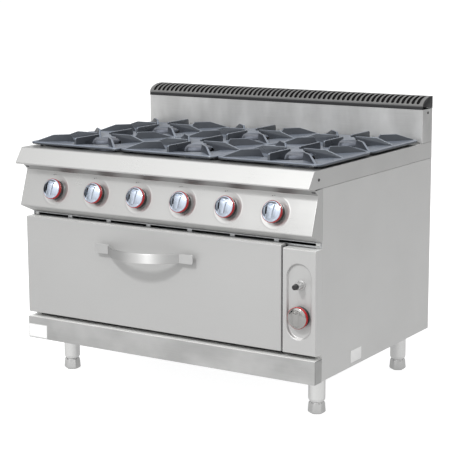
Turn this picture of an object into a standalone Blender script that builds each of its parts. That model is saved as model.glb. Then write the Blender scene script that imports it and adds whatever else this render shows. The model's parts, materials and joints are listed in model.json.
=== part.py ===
"""Commercial gas range: six open burners over a full-width gas oven, on four levelling legs.

Units are metres and +Z is up. The origin is on the floor, under the middle of the overall box.
X runs along the front from left to right and Y runs from the front to the back.
"""

import math

import bmesh
import bpy
from mathutils import Matrix, Vector

# Driving dimensions
WIDTH = 1.200
OVERALL_DEPTH = 0.9705
OVERALL_HEIGHT = 1.016
HOB_TOP = 0.850
SHEET = 0.002
GAP = 0.0003

# Depths measured forward from the back of the range
NOSE_DEPTH = 0.920
HOB_FRONT_DEPTH = 0.884
BODY_DEPTH = 0.827
DOOR_FRONT_DEPTH = 0.869
DOOR_BACK_DEPTH = 0.8345
BOX_FRONT_DEPTH = 0.871
PLINTH_FRONT_DEPTH = 0.8735
SPLASH_DEPTH = 0.083

# Heights
BODY_BOTTOM = 0.147
PLINTH_TOP = 0.225
DOOR_BOTTOM, DOOR_TOP = 0.241, 0.5975
BOX_TOP = 0.590
HOB_SKIRT = 0.789
SPLASH_TOP = 0.972

# The door fills the front up to the service box on the right
DOOR_RIGHT = 0.470
BOX_LEFT = 0.476
HALF = WIDTH / 2
BACK = OVERALL_DEPTH / 2

# Burner grid
COLUMNS = (-0.399, 0.0, 0.399)
ROW_DEPTHS = (0.6575, 0.2825)
SUPPORT_SIZE = (0.396, 0.372)
SUPPORT_BOTTOM, SUPPORT_TOP, FIN_TOP = 0.857, 0.866, 0.888
FIN_WIDTH = 0.008
SUPPORT_OPENING_R = 0.085
WELL_FLOOR = 0.820

# Knobs sit on the sloping control panel, and one on the service box
KNOB_PITCH = 0.181
KNOB_X = [(index - 2.5) * KNOB_PITCH for index in range(6)]
KNOB_R, KNOB_BASE_R, KNOB_HEIGHT = 0.0355, 0.0315, 0.040
DISH_R, DISH_DEPTH = 0.052, 0.009
OVEN_KNOB = (0.540, 0.366)
IGNITER = (0.541, 0.472)
SPINDLE_R = 0.004

# Pressed recess of the service box, with the oven's controls in it
RECESS = 0.010
RECESS_WIDTH, RECESS_HEIGHT = 0.088, 0.250
RECESS_MIDDLE = (0.537, 0.416)

# Legs
LEG_X = 0.523
LEG_DEPTHS = (0.719, 0.095)
FOOT_HEIGHT = 0.043
LEG_R, LEG_NECK_R, FOOT_R = 0.029, 0.0252, 0.0278

# Oven
OVEN_LEFT, OVEN_RIGHT = -0.530, 0.400
OVEN_BOTTOM, OVEN_TOP = 0.275, 0.565
OVEN_BACK_DEPTH = 0.200
HINGE_HEIGHT = 0.2525
HINGE_DEPTH = 0.845
HINGE_X = (-0.480, 0.350)
RACK_HEIGHT, SOLE_HEIGHT = 0.415, 0.306
OVEN_MIDDLE = (OVEN_LEFT + OVEN_RIGHT) / 2

# Door handle: a strip bowed out in plan, with a flat tab at each end
HANDLE_MIDDLE, HANDLE_HALF, HANDLE_END = -0.066, 0.205, 0.149
HANDLE_LOW, HANDLE_HIGH, HANDLE_THICK = 0.499, 0.533, 0.003
HANDLE_STANDOFF, HANDLE_REACH = 0.020, 0.1015

# Gas supply
INLET_X, INLET_Z = 0.560, 0.700
MANIFOLD_DROP = 0.052

# Vent slots in the cap of the splashback
SLOT_COUNT, SLOT_PITCH, SLOT_WIDTH = 58, 0.0203, 0.0095


def from_back(depth):
    """Y of a plane this far in front of the back of the range."""
    return BACK - depth


# Edges of the sloping panel, as (Y, Z)
PANEL_TOP_POINT = (from_back(0.857), 0.7675)
PANEL_FOLD = (from_back(0.899), 0.641)


# ---------------------------------------------------------------- scene and materials

for old in list(bpy.data.objects):
    bpy.data.objects.remove(old, do_unlink=True)


def new_collection(name):
    collection = bpy.data.collections.new(name)
    bpy.context.scene.collection.children.link(collection)
    return collection


PARTS = new_collection("gas_range")
CUTTERS = new_collection("cutters")


def material(name, color, roughness, metallic):
    look = bpy.data.materials.new(name)
    look.use_nodes = True
    shader = look.node_tree.nodes["Principled BSDF"]
    shader.inputs["Base Color"].default_value = (*color, 1.0)
    shader.inputs["Roughness"].default_value = roughness
    shader.inputs["Metallic"].default_value = metallic
    look.diffuse_color = (*color, 1.0)
    return look


STEEL = material("brushed_steel", (0.62, 0.62, 0.61), 0.35, 1.0)
BRIGHT_STEEL = material("bright_steel", (0.72, 0.72, 0.72), 0.22, 1.0)
VENT_GREY = material("vent_grey", (0.16, 0.16, 0.16), 0.45, 0.6)
CAST_IRON = material("cast_iron", (0.10, 0.12, 0.15), 0.5, 0.3)
BURNER_METAL = material("burner_metal", (0.32, 0.34, 0.37), 0.45, 0.7)
CHROME = material("chrome", (0.80, 0.80, 0.82), 0.10, 1.0)
ENAMEL = material("black_enamel", (0.03, 0.03, 0.035), 0.25, 0.0)
BRASS = material("brass", (0.70, 0.52, 0.22), 0.35, 1.0)
RUBBER = material("gasket", (0.12, 0.12, 0.12), 0.8, 0.0)
BLACK_PLASTIC = material("black_plastic", (0.02, 0.02, 0.02), 0.4, 0.0)
ZINC = material("zinc_steel", (0.55, 0.56, 0.57), 0.5, 0.9)


# ---------------------------------------------------------------- mesh builders


def finish_mesh(bm, name):
    mesh = bpy.data.meshes.new(name)
    bmesh.ops.recalc_face_normals(bm, faces=bm.faces[:])
    bm.to_mesh(mesh)
    bm.free()
    return mesh


def box(low, high, round_axis=None, radius=0.0, segments=4):
    """A box between two corners. Its edges along round_axis are rounded, or all of them with "all"."""
    low, high = Vector(low), Vector(high)
    bm = bmesh.new()
    bmesh.ops.create_cube(bm, size=1.0)
    bmesh.ops.scale(bm, vec=high - low, verts=bm.verts[:])
    bmesh.ops.translate(bm, vec=(low + high) / 2, verts=bm.verts[:])
    if round_axis is not None:
        edges = [edge for edge in bm.edges if runs_along(edge, round_axis)]
        bmesh.ops.bevel(bm, geom=edges, offset=radius, segments=segments, profile=0.5, affect="EDGES")
    return finish_mesh(bm, "box")


def runs_along(edge, axis):
    if axis == "all":
        return True
    step = edge.verts[0].co - edge.verts[1].co
    return abs(step["XYZ".index(axis)]) > 0.99 * step.length


def cylinder(radius, bottom, top, steps=24, top_radius=None):
    bm = bmesh.new()
    bmesh.ops.create_cone(
        bm,
        cap_ends=True,
        radius1=radius,
        radius2=radius if top_radius is None else top_radius,
        depth=top - bottom,
        segments=steps,
    )
    bmesh.ops.translate(bm, vec=(0, 0, (bottom + top) / 2), verts=bm.verts[:])
    return finish_mesh(bm, "cylinder")


def mesh_of_curve(curve):
    """The solid that a curve draws, with its caps welded to its sides."""
    carrier = bpy.data.objects.new("curve", curve)
    bpy.context.scene.collection.objects.link(carrier)
    graph = bpy.context.evaluated_depsgraph_get()
    mesh = bpy.data.meshes.new_from_object(carrier.evaluated_get(graph))
    bpy.data.objects.remove(carrier, do_unlink=True)
    bm = bmesh.new()
    bm.from_mesh(mesh)
    bmesh.ops.remove_doubles(bm, verts=bm.verts[:], dist=1e-5)
    bpy.data.meshes.remove(mesh)
    return finish_mesh(bm, "solid")


def prism(outline, low, high, turn=None):
    """A flat outline drawn in XY and given thickness from low to high along Z, then turned."""
    curve = bpy.data.curves.new("outline", "CURVE")
    curve.dimensions = "2D"
    curve.fill_mode = "BOTH"
    curve.extrude = (high - low) / 2
    spline = curve.splines.new("POLY")
    spline.points.add(len(outline) - 1)
    for point, (x, y) in zip(spline.points, outline):
        point.co = (x, y, 0.0, 1.0)
    spline.use_cyclic_u = True
    mesh = mesh_of_curve(curve)
    mesh.transform(Matrix.Translation((0, 0, (low + high) / 2)))
    if turn is not None:
        mesh.transform(turn)
    return mesh


def tube(path, radius, closed=False):
    """A round bar along a path."""
    curve = bpy.data.curves.new("path", "CURVE")
    curve.dimensions = "3D"
    curve.bevel_depth = radius
    curve.bevel_resolution = 2
    curve.use_fill_caps = True
    spline = curve.splines.new("POLY")
    spline.points.add(len(path) - 1)
    for point, place in zip(spline.points, path):
        point.co = (*place, 1.0)
    spline.use_cyclic_u = closed
    return mesh_of_curve(curve)


# Turns an outline drawn in XY into one in YZ with its thickness along X.
ALONG_X = Matrix(((0, 0, 1, 0), (1, 0, 0, 0), (0, 1, 0, 0), (0, 0, 0, 1)))


def arc(center, radius, start, end, steps):
    """Points on an arc, angles in degrees."""
    points = []
    for index in range(steps + 1):
        angle = math.radians(start + (end - start) * index / steps)
        points.append((center[0] + radius * math.cos(angle), center[1] + radius * math.sin(angle)))
    return points


def place(name, mesh, look, location=(0, 0, 0), rotation=(0, 0, 0), parent=None, smooth=False):
    obj = bpy.data.objects.new(name, mesh)
    obj.location = location
    obj.rotation_euler = rotation
    obj.parent = parent
    PARTS.objects.link(obj)
    if not mesh.materials:
        mesh.materials.append(look)
    if smooth:
        mesh.shade_smooth()
        mesh.set_sharp_from_angle(angle=math.radians(35))
    return obj


def turned(name, profile, look, steps=24, **where):
    """A turned solid: a half profile, from the top of the axis round to its bottom, spun about Z."""
    bm = bmesh.new()
    verts = [bm.verts.new((radius, 0, height)) for radius, height in profile]
    for first, second in zip(verts, verts[1:]):
        bm.edges.new((first, second))
    mesh = bpy.data.meshes.new(name)
    bm.to_mesh(mesh)
    bm.free()
    obj = place(name, mesh, look, **where)
    screw = obj.modifiers.new("turn", "SCREW")
    screw.steps = screw.render_steps = steps
    screw.use_merge_vertices = True
    screw.merge_threshold = 1e-5
    screw.use_smooth_shade = True
    return obj


def reshape(target, operation, mesh, location=(0, 0, 0), rotation=(0, 0, 0)):
    """Cuts a mesh from the target, or joins it on, in the target's own space."""
    helper = bpy.data.objects.new(f"{target.name}_{operation.lower()}", mesh)
    helper.location = location
    helper.rotation_euler = rotation
    helper.parent = target
    helper.hide_render = True
    helper.display_type = "WIRE"
    CUTTERS.objects.link(helper)
    boolean = target.modifiers.new(operation.lower(), "BOOLEAN")
    boolean.operation = operation
    boolean.solver = "EXACT"
    boolean.object = helper
    return helper


def cut(target, mesh, **where):
    return reshape(target, "DIFFERENCE", mesh, **where)


def join(target, mesh, **where):
    return reshape(target, "UNION", mesh, **where)


# ---------------------------------------------------------------- body


def make_side_panels():
    """Folded side sheets with flanges turned in at the front and the back."""
    flange = 0.025
    front, back = from_back(BODY_DEPTH), from_back(0)
    for name, side in (("side_panel_left", -1), ("side_panel_right", 1)):
        outline = [
            (HALF * side, front),
            (HALF * side, back),
            ((HALF - flange) * side, back),
            ((HALF - flange) * side, back - SHEET),
            ((HALF - SHEET) * side, back - SHEET),
            ((HALF - SHEET) * side, front + SHEET),
            ((HALF - flange) * side, front + SHEET),
            ((HALF - flange) * side, front),
        ]
        place(name, prism(outline, BODY_BOTTOM, HOB_SKIRT - GAP), STEEL)


def make_back_panel():
    inset = SHEET + GAP
    panel = place(
        "back_panel",
        box(
            (-HALF + inset, from_back(2 * SHEET + GAP), 0.152),
            (HALF - inset, from_back(SHEET + GAP), HOB_SKIRT - 0.004),
        ),
        ZINC,
    )
    inlet_hole = cylinder(0.015, -0.02, 0.02)
    cut(panel, inlet_hole, location=(INLET_X, from_back(0.004), INLET_Z), rotation=(math.pi / 2, 0, 0))


def make_base_panel():
    """Folded floor tray between the side panels, with an air intake under the oven burner."""
    inset = SHEET + GAP
    front, back = from_back(BODY_DEPTH - 0.004), from_back(2 * SHEET + 2 * GAP)
    panel = place(
        "base_panel",
        box((-HALF + inset, front, BODY_BOTTOM + GAP), (HALF - inset, back, BODY_BOTTOM + 0.022)),
        ZINC,
    )
    cut(
        panel,
        box(
            (-HALF + inset + SHEET, front + SHEET, BODY_BOTTOM + GAP + SHEET),
            (HALF - inset - SHEET, back - SHEET, BODY_BOTTOM + 0.05),
        ),
    )
    cut(panel, box((-0.35, from_back(0.52), 0.13), (0.22, from_back(0.40), 0.16), "Z", 0.02))


def make_plinth():
    """Kick plate under the door, folded back to meet the side panels and over at the top."""
    front, back = from_back(PLINTH_FRONT_DEPTH), from_back(BODY_DEPTH + GAP)
    plinth = place("plinth", box((-HALF, front, 0.145), (HALF, back, PLINTH_TOP), "Z", 0.002, 2), STEEL)
    cut(
        plinth,
        box(
            (-HALF + SHEET, front + SHEET, 0.130),
            (HALF - SHEET, back + 0.01, PLINTH_TOP - SHEET),
        ),
    )


def hob_outline(inset=0.0, reach=0.0):
    """The hob's section in YZ: rolled apron at the front, flat top, and a skirt down the back."""
    front = from_back(HOB_FRONT_DEPTH)
    nose = from_back(NOSE_DEPTH)
    back = from_back(0)
    lip = from_back(0.880)
    return [
        (front + inset * 0.4, HOB_TOP - inset),
        (nose + 0.002 + inset, 0.800 - inset * 0.2),
        (nose + inset, 0.797),
        (nose + 0.002 + inset, 0.7945 + inset),
        (lip, 0.793 + inset),
        (lip, HOB_SKIRT - reach),
        (back - inset, HOB_SKIRT - reach),
        (back - inset, HOB_TOP - inset),
    ]


def make_hob_top():
    """Pressed top with a rolled apron, three burner wells and the flue opening at the back."""
    hob = place("hob_top", prism(hob_outline(), -HALF, HALF, ALONG_X), BRIGHT_STEEL)
    inner = hob_outline(SHEET, 0.02)
    cut(hob, prism(inner, -HALF + SHEET, HALF - SHEET, ALONG_X))
    well_front, well_back = from_back(ROW_DEPTHS[0] + 0.160), from_back(ROW_DEPTHS[1] - 0.160)
    for x in COLUMNS:
        low = (x - 0.165, well_front, WELL_FLOOR - SHEET)
        high = (x + 0.165, well_back, HOB_TOP - SHEET / 2)
        join(hob, box(low, high, "Z", 0.032, 3))
    for x in COLUMNS:
        low = (x - 0.163, well_front + SHEET, WELL_FLOOR)
        high = (x + 0.163, well_back - SHEET, HOB_TOP + 0.01)
        cut(hob, box(low, high, "Z", 0.030, 3))
        for depth in ROW_DEPTHS:
            cut(hob, cylinder(0.034, -0.01, 0.01, 14), location=(x, from_back(depth), WELL_FLOOR))
    cut(hob, box((-0.54, from_back(0.070), 0.84), (0.54, from_back(0.014), 0.86)))


def make_splashback():
    """Hollow upstand that carries the flue gases, open to the hob below and the vent cap above."""
    front, back = from_back(SPLASH_DEPTH), from_back(0)
    outer = box((-HALF, front, HOB_TOP + GAP), (HALF, back, SPLASH_TOP), "Z", 0.0015, 2)
    splash = place("splashback", outer, STEEL)
    inner_low = (-HALF + SHEET, front + SHEET, HOB_TOP - 0.01)
    cut(splash, box(inner_low, (HALF - SHEET, back - SHEET, SPLASH_TOP + 0.01)))


def vent_outline(inset=0.0):
    """The cap's section in YZ: a short front band, then a quarter round up to the flat top."""
    front, back = from_back(SPLASH_DEPTH + 0.0015), from_back(0)
    band = 0.983
    radius_y, radius_z = 0.072, OVERALL_HEIGHT - band
    points = [(front + inset, SPLASH_TOP + GAP - inset)]
    for index in range(5):
        angle = math.radians(180 - 90 * index / 4)
        y = front + radius_y + (radius_y - inset) * math.cos(angle)
        z = band + (radius_z - inset) * math.sin(angle)
        points.append((y, z))
    points += [(back - inset, OVERALL_HEIGHT - inset), (back - inset, SPLASH_TOP + GAP - inset)]
    return points


def make_vent_cap():
    """Curved cap with a row of slots, closed at its ends and open below."""
    cap = place("vent_cap", prism(vent_outline(), -HALF, HALF, ALONG_X), VENT_GREY)
    cut(cap, prism(vent_outline(SHEET), -HALF + SHEET, HALF - SHEET, ALONG_X))
    front = from_back(SPLASH_DEPTH)
    slots = bmesh.new()
    for index in range(SLOT_COUNT):
        x = (index - (SLOT_COUNT - 1) / 2) * SLOT_PITCH
        made = bmesh.ops.create_cube(slots, size=1.0)["verts"]
        bmesh.ops.scale(slots, vec=(SLOT_WIDTH, 0.062, 0.034), verts=made)
        bmesh.ops.translate(slots, vec=(x, front + 0.0375, 1.0075), verts=made)
    cut(cap, finish_mesh(slots, "slots"))


# ---------------------------------------------------------------- control panel

def panel_frame(x, along=0.5):
    """A matrix on the sloping panel: X along the front, Z out of the panel."""
    down = Vector((0, PANEL_FOLD[0] - PANEL_TOP_POINT[0], PANEL_FOLD[1] - PANEL_TOP_POINT[1]))
    up = -down.normalized()
    across = Vector((1, 0, 0))
    out = across.cross(up)
    spot = Vector((x, *PANEL_TOP_POINT)) + down * along
    return Matrix((across, up, out)).transposed().to_4x4(), spot


PANEL_TURN = panel_frame(0)[0].to_euler()


def panel_outline(inset=0.0, back=0.0):
    """The panel's section: a band under the apron, the sloping face, the chin and an open back."""
    rear = from_back(BODY_DEPTH + GAP) + back
    return [
        (rear, HOB_SKIRT - GAP - inset),
        (from_back(0.878) + inset, HOB_SKIRT - GAP - inset),
        (PANEL_TOP_POINT[0] + inset, PANEL_TOP_POINT[1]),
        (PANEL_FOLD[0] + inset, PANEL_FOLD[1]),
        (rear, 0.610 + inset * 1.1),
    ]


def make_control_panel():
    """Folded panel with six pressed dishes, each with a hole for its tap's spindle."""
    panel = place("control_panel", prism(panel_outline(), -HALF, HALF, ALONG_X), BRIGHT_STEEL)
    cut(panel, prism(panel_outline(SHEET, 0.01), -HALF + SHEET, HALF - SHEET, ALONG_X))
    for x in KNOB_X:
        spot = panel_frame(x)[1]
        where = {"location": spot, "rotation": PANEL_TURN}
        join(panel, cylinder(DISH_R - 0.005, -DISH_DEPTH - SHEET, -SHEET / 2, 20, DISH_R + 0.001), **where)
        cut(panel, cylinder(DISH_R - 0.007, -DISH_DEPTH, 0.0005, 20, DISH_R), **where)
        cut(panel, cylinder(0.0055, -0.03, 0.01, 8), **where)


def make_vent_strip():
    """Slotted strip that closes the gap between the control panel and the door."""
    y = from_back(BODY_DEPTH + GAP)
    strip = place("vent_strip", box((-HALF + 0.003, y - SHEET, 0.592), (HALF - 0.003, y, 0.6095)), ENAMEL)
    for index in range(7):
        x = -0.515 + index * 0.1717
        cut(strip, box((x - 0.077, y - 0.01, 0.5985), (x + 0.077, y + 0.01, 0.6065)))


def knob_profile():
    """Half section: domed cap on a broad red band, and the narrower base behind it."""
    return [
        (0.0, KNOB_HEIGHT),
        (0.0120, KNOB_HEIGHT - 0.0004),
        (0.0260, KNOB_HEIGHT - 0.0022),
        (0.0325, KNOB_HEIGHT - 0.0055),
        (0.0350, KNOB_HEIGHT - 0.0085),
        (KNOB_R, 0.0290),
        (KNOB_R, 0.0160),
        (KNOB_BASE_R, 0.0145),
        (KNOB_BASE_R, 0.0005),
        (0.0, 0.0005),
    ]


def make_knob(name, location, rotation):
    """A domed knob with a grip bar left between two scoops, bored at the back for its spindle."""
    knob = turned(name, knob_profile(), CHROME, steps=16, location=location, rotation=rotation)
    scoop = cylinder(0.020, -0.05, 0.05, 14)
    for side in (-1, 1):
        cut(knob, scoop, location=(side * 0.028, 0, 0.048), rotation=(math.pi / 2, 0, 0))
    cut(knob, cylinder(SPINDLE_R + 2 * GAP, -0.01, 0.020, 8))


def make_knobs():
    for number, x in enumerate(KNOB_X, start=1):
        frame, spot = panel_frame(x)
        seat = spot - frame.to_3x3() @ Vector((0, 0, DISH_DEPTH))
        make_knob(f"burner_knob_{number}", seat, PANEL_TURN)
    x, z = OVEN_KNOB
    make_knob("oven_knob", (x, from_back(BOX_FRONT_DEPTH) + RECESS, z), (math.pi / 2, 0, 0))


# ---------------------------------------------------------------- service box


def obround(center, width, height, steps=10):
    """A slot shape with round ends, standing upright."""
    radius = width / 2
    middle = height / 2 - radius
    top = arc((center[0], center[1] + middle), radius, 0, 180, steps)
    return top + arc((center[0], center[1] - middle), radius, 180, 360, steps)


# Turns an outline drawn in XY into one in XZ with its thickness towards the front.
FACING_FRONT = Matrix(((1, 0, 0, 0), (0, 0, -1, 0), (0, 1, 0, 0), (0, 0, 0, 1)))


def make_control_box():
    """Service box beside the door, with a pressed obround recess for the oven's controls."""
    front, back = from_back(BOX_FRONT_DEPTH), from_back(BODY_DEPTH + GAP)
    low, high = (BOX_LEFT, front, DOOR_BOTTOM), (HALF, back, BOX_TOP)
    shell = place("control_box", box(low, high, "Z", 0.003, 2), BRIGHT_STEEL)
    cut(
        shell,
        box(
            (BOX_LEFT + SHEET, front + SHEET, DOOR_BOTTOM + SHEET),
            (HALF - SHEET, back + 0.01, BOX_TOP - SHEET),
        ),
    )
    wall = obround(RECESS_MIDDLE, RECESS_WIDTH + 2 * SHEET, RECESS_HEIGHT + 2 * SHEET)
    hollow = obround(RECESS_MIDDLE, RECESS_WIDTH, RECESS_HEIGHT)
    join(shell, prism(wall, -front - RECESS - SHEET, -front - SHEET / 2, FACING_FRONT))
    cut(shell, prism(hollow, -front - RECESS, -front + 0.01, FACING_FRONT))
    for x, z, radius in ((*OVEN_KNOB, 0.0055), (*IGNITER, 0.009)):
        cut(shell, cylinder(radius, -0.05, 0.05, 16), location=(x, front, z), rotation=(math.pi / 2, 0, 0))


def make_igniter():
    """Piezo igniter: a threaded housing on the service box and its sprung push button."""
    floor = from_back(BOX_FRONT_DEPTH) + RECESS
    where = {"location": (IGNITER[0], floor, IGNITER[1]), "rotation": (math.pi / 2, 0, 0)}
    profile = [
        (0.0095, 0.034),
        (0.0115, 0.034),
        (0.0125, 0.032),
        (0.0125, GAP),
        (0.0, GAP),
        (0.0, 0.004),
        (0.0095, 0.004),
        (0.0095, 0.034),
    ]
    turned("igniter_housing", profile, CHROME, steps=20, smooth=False, **where)
    tip = [(0.0, 0.0480), (0.0070, 0.0475), (0.0090, 0.0445), (0.0090, 0.0140), (0.0, 0.0140)]
    turned("igniter_button", tip, BLACK_PLASTIC, steps=20, **where)


# ---------------------------------------------------------------- oven door


def make_door():
    """Outer pan, inner lining, bowed handle and the hinge cases, all turning on the hinge axis."""
    pivot = bpy.data.objects.new("door_pivot", None)
    pivot.location = (0, from_back(HINGE_DEPTH), HINGE_HEIGHT)
    PARTS.objects.link(pivot)
    home = -Vector(pivot.location)
    on_door = {"location": home, "parent": pivot}

    front, back = from_back(DOOR_FRONT_DEPTH), from_back(DOOR_BACK_DEPTH)
    low, high = (-HALF, front, DOOR_BOTTOM), (DOOR_RIGHT, back, DOOR_TOP)
    outer = place("door_outer", box(low, high), STEEL, **on_door)
    bevel = outer.modifiers.new("rolled_edges", "BEVEL")
    bevel.width = 0.004
    bevel.segments = 2
    bevel.limit_method = "WEIGHT"
    weight_front_edges(outer.data, front)
    cut(
        outer,
        box(
            (-HALF + SHEET, front + SHEET, DOOR_BOTTOM + SHEET),
            (DOOR_RIGHT - SHEET, back + 0.01, DOOR_TOP - SHEET),
        ),
    )

    inset = SHEET + GAP
    inner = place(
        "door_inner",
        box(
            (-HALF + inset, back - SHEET, DOOR_BOTTOM + inset),
            (DOOR_RIGHT - inset, back, DOOR_TOP - inset),
        ),
        ENAMEL,
        **on_door,
    )
    left, right = OVEN_LEFT + 0.012, OVEN_RIGHT - 0.012
    bottom, top = OVEN_BOTTOM + 0.012, OVEN_TOP - 0.012
    join(inner, box((left, back - 0.001, bottom), (right, back + 0.016, top), "Y", 0.02))
    hollow_low = (left + SHEET, back - 0.01, bottom + SHEET)
    hollow_high = (right - SHEET, back + 0.014, top - SHEET)
    cut(inner, box(hollow_low, hollow_high, "Y", 0.018))
    for x in HINGE_X:
        join_hinge_fork(inner, x, back)
        notch_low = (x - 0.0065, front + 0.008, DOOR_BOTTOM - 0.01)
        notch_high = (x + 0.0065, back + 0.01, HINGE_HEIGHT + 0.012)
        for piece in (outer, inner):
            cut(piece, box(notch_low, notch_high))
    make_handle(front, on_door)


def join_hinge_fork(lining, x, back):
    """A bracket on the door's lining, with a bore on the hinge axis for the arm's pin."""
    axis_y, axis_z = from_back(HINGE_DEPTH), HINGE_HEIGHT
    low = (x - 0.011, axis_y - 0.010, DOOR_BOTTOM + SHEET + GAP)
    high = (x + 0.011, back - SHEET + 0.0005, axis_z + 0.040)
    join(lining, box(low, high))
    bore = cylinder(0.0028, -0.02, 0.02, 16)
    cut(lining, bore, location=(x, axis_y, axis_z), rotation=(0, math.pi / 2, 0))


def weight_front_edges(mesh, front):
    weights = mesh.attributes.new("bevel_weight_edge", "FLOAT", "EDGE")
    for edge in mesh.edges:
        ends = [mesh.vertices[index].co.y for index in edge.vertices]
        weights.data[edge.index].value = 1.0 if max(ends) < front + 1e-4 else 0.0


def handle_path(offset, steps=14):
    """Half of the strip's plan: flat at the end, then an arc out to the middle; offset is from its front."""
    bow = HANDLE_REACH - HANDLE_STANDOFF - HANDLE_THICK
    radius = (HANDLE_END**2 + bow**2) / (2 * bow)
    sweep = math.degrees(math.asin(HANDLE_END / radius))
    base = HANDLE_STANDOFF + HANDLE_THICK - offset
    points = [(-HANDLE_HALF, base)]
    for x, y in arc((0, bow - radius), radius - offset, 90 + sweep, 90 - sweep, steps):
        points.append((x, y + HANDLE_STANDOFF + HANDLE_THICK))
    points[1] = (-HANDLE_END, base)
    points[-1] = (HANDLE_END, base)
    points.append((HANDLE_HALF, base))
    return points


def make_handle(front, on_door):
    """Flat steel strip bowed out in plan, on a short post at each end."""
    outline = [(HANDLE_MIDDLE + x, front - y) for x, y in handle_path(0)]
    outline += [(HANDLE_MIDDLE + x, front - y) for x, y in reversed(handle_path(HANDLE_THICK))]
    handle = place("door_handle", prism(outline, HANDLE_LOW, HANDLE_HIGH), BRIGHT_STEEL, **on_door)
    middle = (HANDLE_LOW + HANDLE_HIGH) / 2
    for side in (-1, 1):
        x = HANDLE_MIDDLE + side * (HANDLE_END + HANDLE_HALF) / 2
        post = cylinder(0.008, GAP, HANDLE_STANDOFF + 0.001, 16)
        join(handle, post, location=(x, front, middle), rotation=(math.pi / 2, 0, 0))


def make_hinge_arms():
    """On the body, an arm with a cross pin for each of the door's two forks."""
    axis_y, axis_z = from_back(HINGE_DEPTH), HINGE_HEIGHT
    liner_face = from_back(BODY_DEPTH + GAP)
    for side, x in zip(("left", "right"), HINGE_X):
        outline = [(liner_face - GAP, axis_z - 0.005), (liner_face - GAP, axis_z + 0.005)]
        outline += arc((axis_y, axis_z), 0.005, 90, 270, 8)
        arm = place(f"hinge_arm_{side}", prism(outline, x - 0.003, x + 0.003, ALONG_X), ZINC)
        pin = cylinder(0.0025, -0.0105, 0.0105, 16)
        join(arm, pin, location=(x, axis_y, axis_z), rotation=(0, math.pi / 2, 0))


# ---------------------------------------------------------------- oven


def make_oven_liner():
    """Enamelled muffle: an open box with a front flange, rack ledges and a flue opening at the back."""
    face, back = from_back(BODY_DEPTH + GAP), from_back(OVEN_BACK_DEPTH)
    wall = 0.003
    outer_low = (OVEN_LEFT - wall, face, OVEN_BOTTOM - wall)
    outer_high = (OVEN_RIGHT + wall, back + wall, OVEN_TOP + wall)
    liner = place("oven_liner", box(outer_low, outer_high), ENAMEL)
    join(liner, box((-0.572, face, 0.2435), (0.4745, face + 0.003, 0.5905)))
    cut(liner, box((OVEN_LEFT, face - 0.01, OVEN_BOTTOM), (OVEN_RIGHT, back, OVEN_TOP), "Y", 0.012, 3))
    for x in (OVEN_LEFT - 0.001, OVEN_RIGHT - 0.011):
        ledge_low = (x, face + 0.030, RACK_HEIGHT - 0.012)
        ledge_high = (x + 0.012, back - 0.020, RACK_HEIGHT - 0.0045)
        join(liner, box(ledge_low, ledge_high))
    cut(liner, box((-0.30, back - 0.01, OVEN_TOP - 0.045), (0.17, back + 0.01, OVEN_TOP - 0.015)))


def make_oven_gasket():
    """Round seal around the oven's mouth."""
    inset = 0.016
    left, right = OVEN_LEFT - inset, OVEN_RIGHT + inset
    low, high = OVEN_BOTTOM - 0.0065, OVEN_TOP + 0.012
    corner = 0.020
    plan = arc((right - corner, high - corner), corner, 0, 90, 3)
    plan += arc((left + corner, high - corner), corner, 90, 180, 3)
    plan += arc((left + corner, low + corner), corner, 180, 270, 3)
    plan += arc((right - corner, low + corner), corner, 270, 360, 3)
    y = (from_back(BODY_DEPTH + GAP) + from_back(DOOR_BACK_DEPTH)) / 2
    place("door_gasket", tube([(x, y, z) for x, z in plan], 0.0032, closed=True), RUBBER, smooth=True)


def make_oven_rack():
    """Wire rack: a frame with rods from front to back, resting on the liner's ledges."""
    left, right = OVEN_LEFT + 0.0015, OVEN_RIGHT - 0.0015
    front, back = from_back(BODY_DEPTH - 0.045), from_back(OVEN_BACK_DEPTH + 0.006)
    radius = 0.004
    corner = 0.015
    plan = arc((right - corner - radius, back - corner - radius), corner, 0, 90, 4)
    plan += arc((left + corner + radius, back - corner - radius), corner, 90, 180, 4)
    plan += arc((left + corner + radius, front + corner + radius), corner, 180, 270, 4)
    plan += arc((right - corner - radius, front + corner + radius), corner, 270, 360, 4)
    rack = place("oven_rack", tube([(x, y, RACK_HEIGHT) for x, y in plan], radius, closed=True), CHROME)
    rods = 13
    for index in range(rods):
        x = left + (right - left) * (index + 1) / (rods + 1)
        rod = cylinder(0.0025, front + radius, back - radius, 6)
        join(rack, rod, location=(x, 0, RACK_HEIGHT + 0.001), rotation=(-math.pi / 2, 0, 0))


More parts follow.
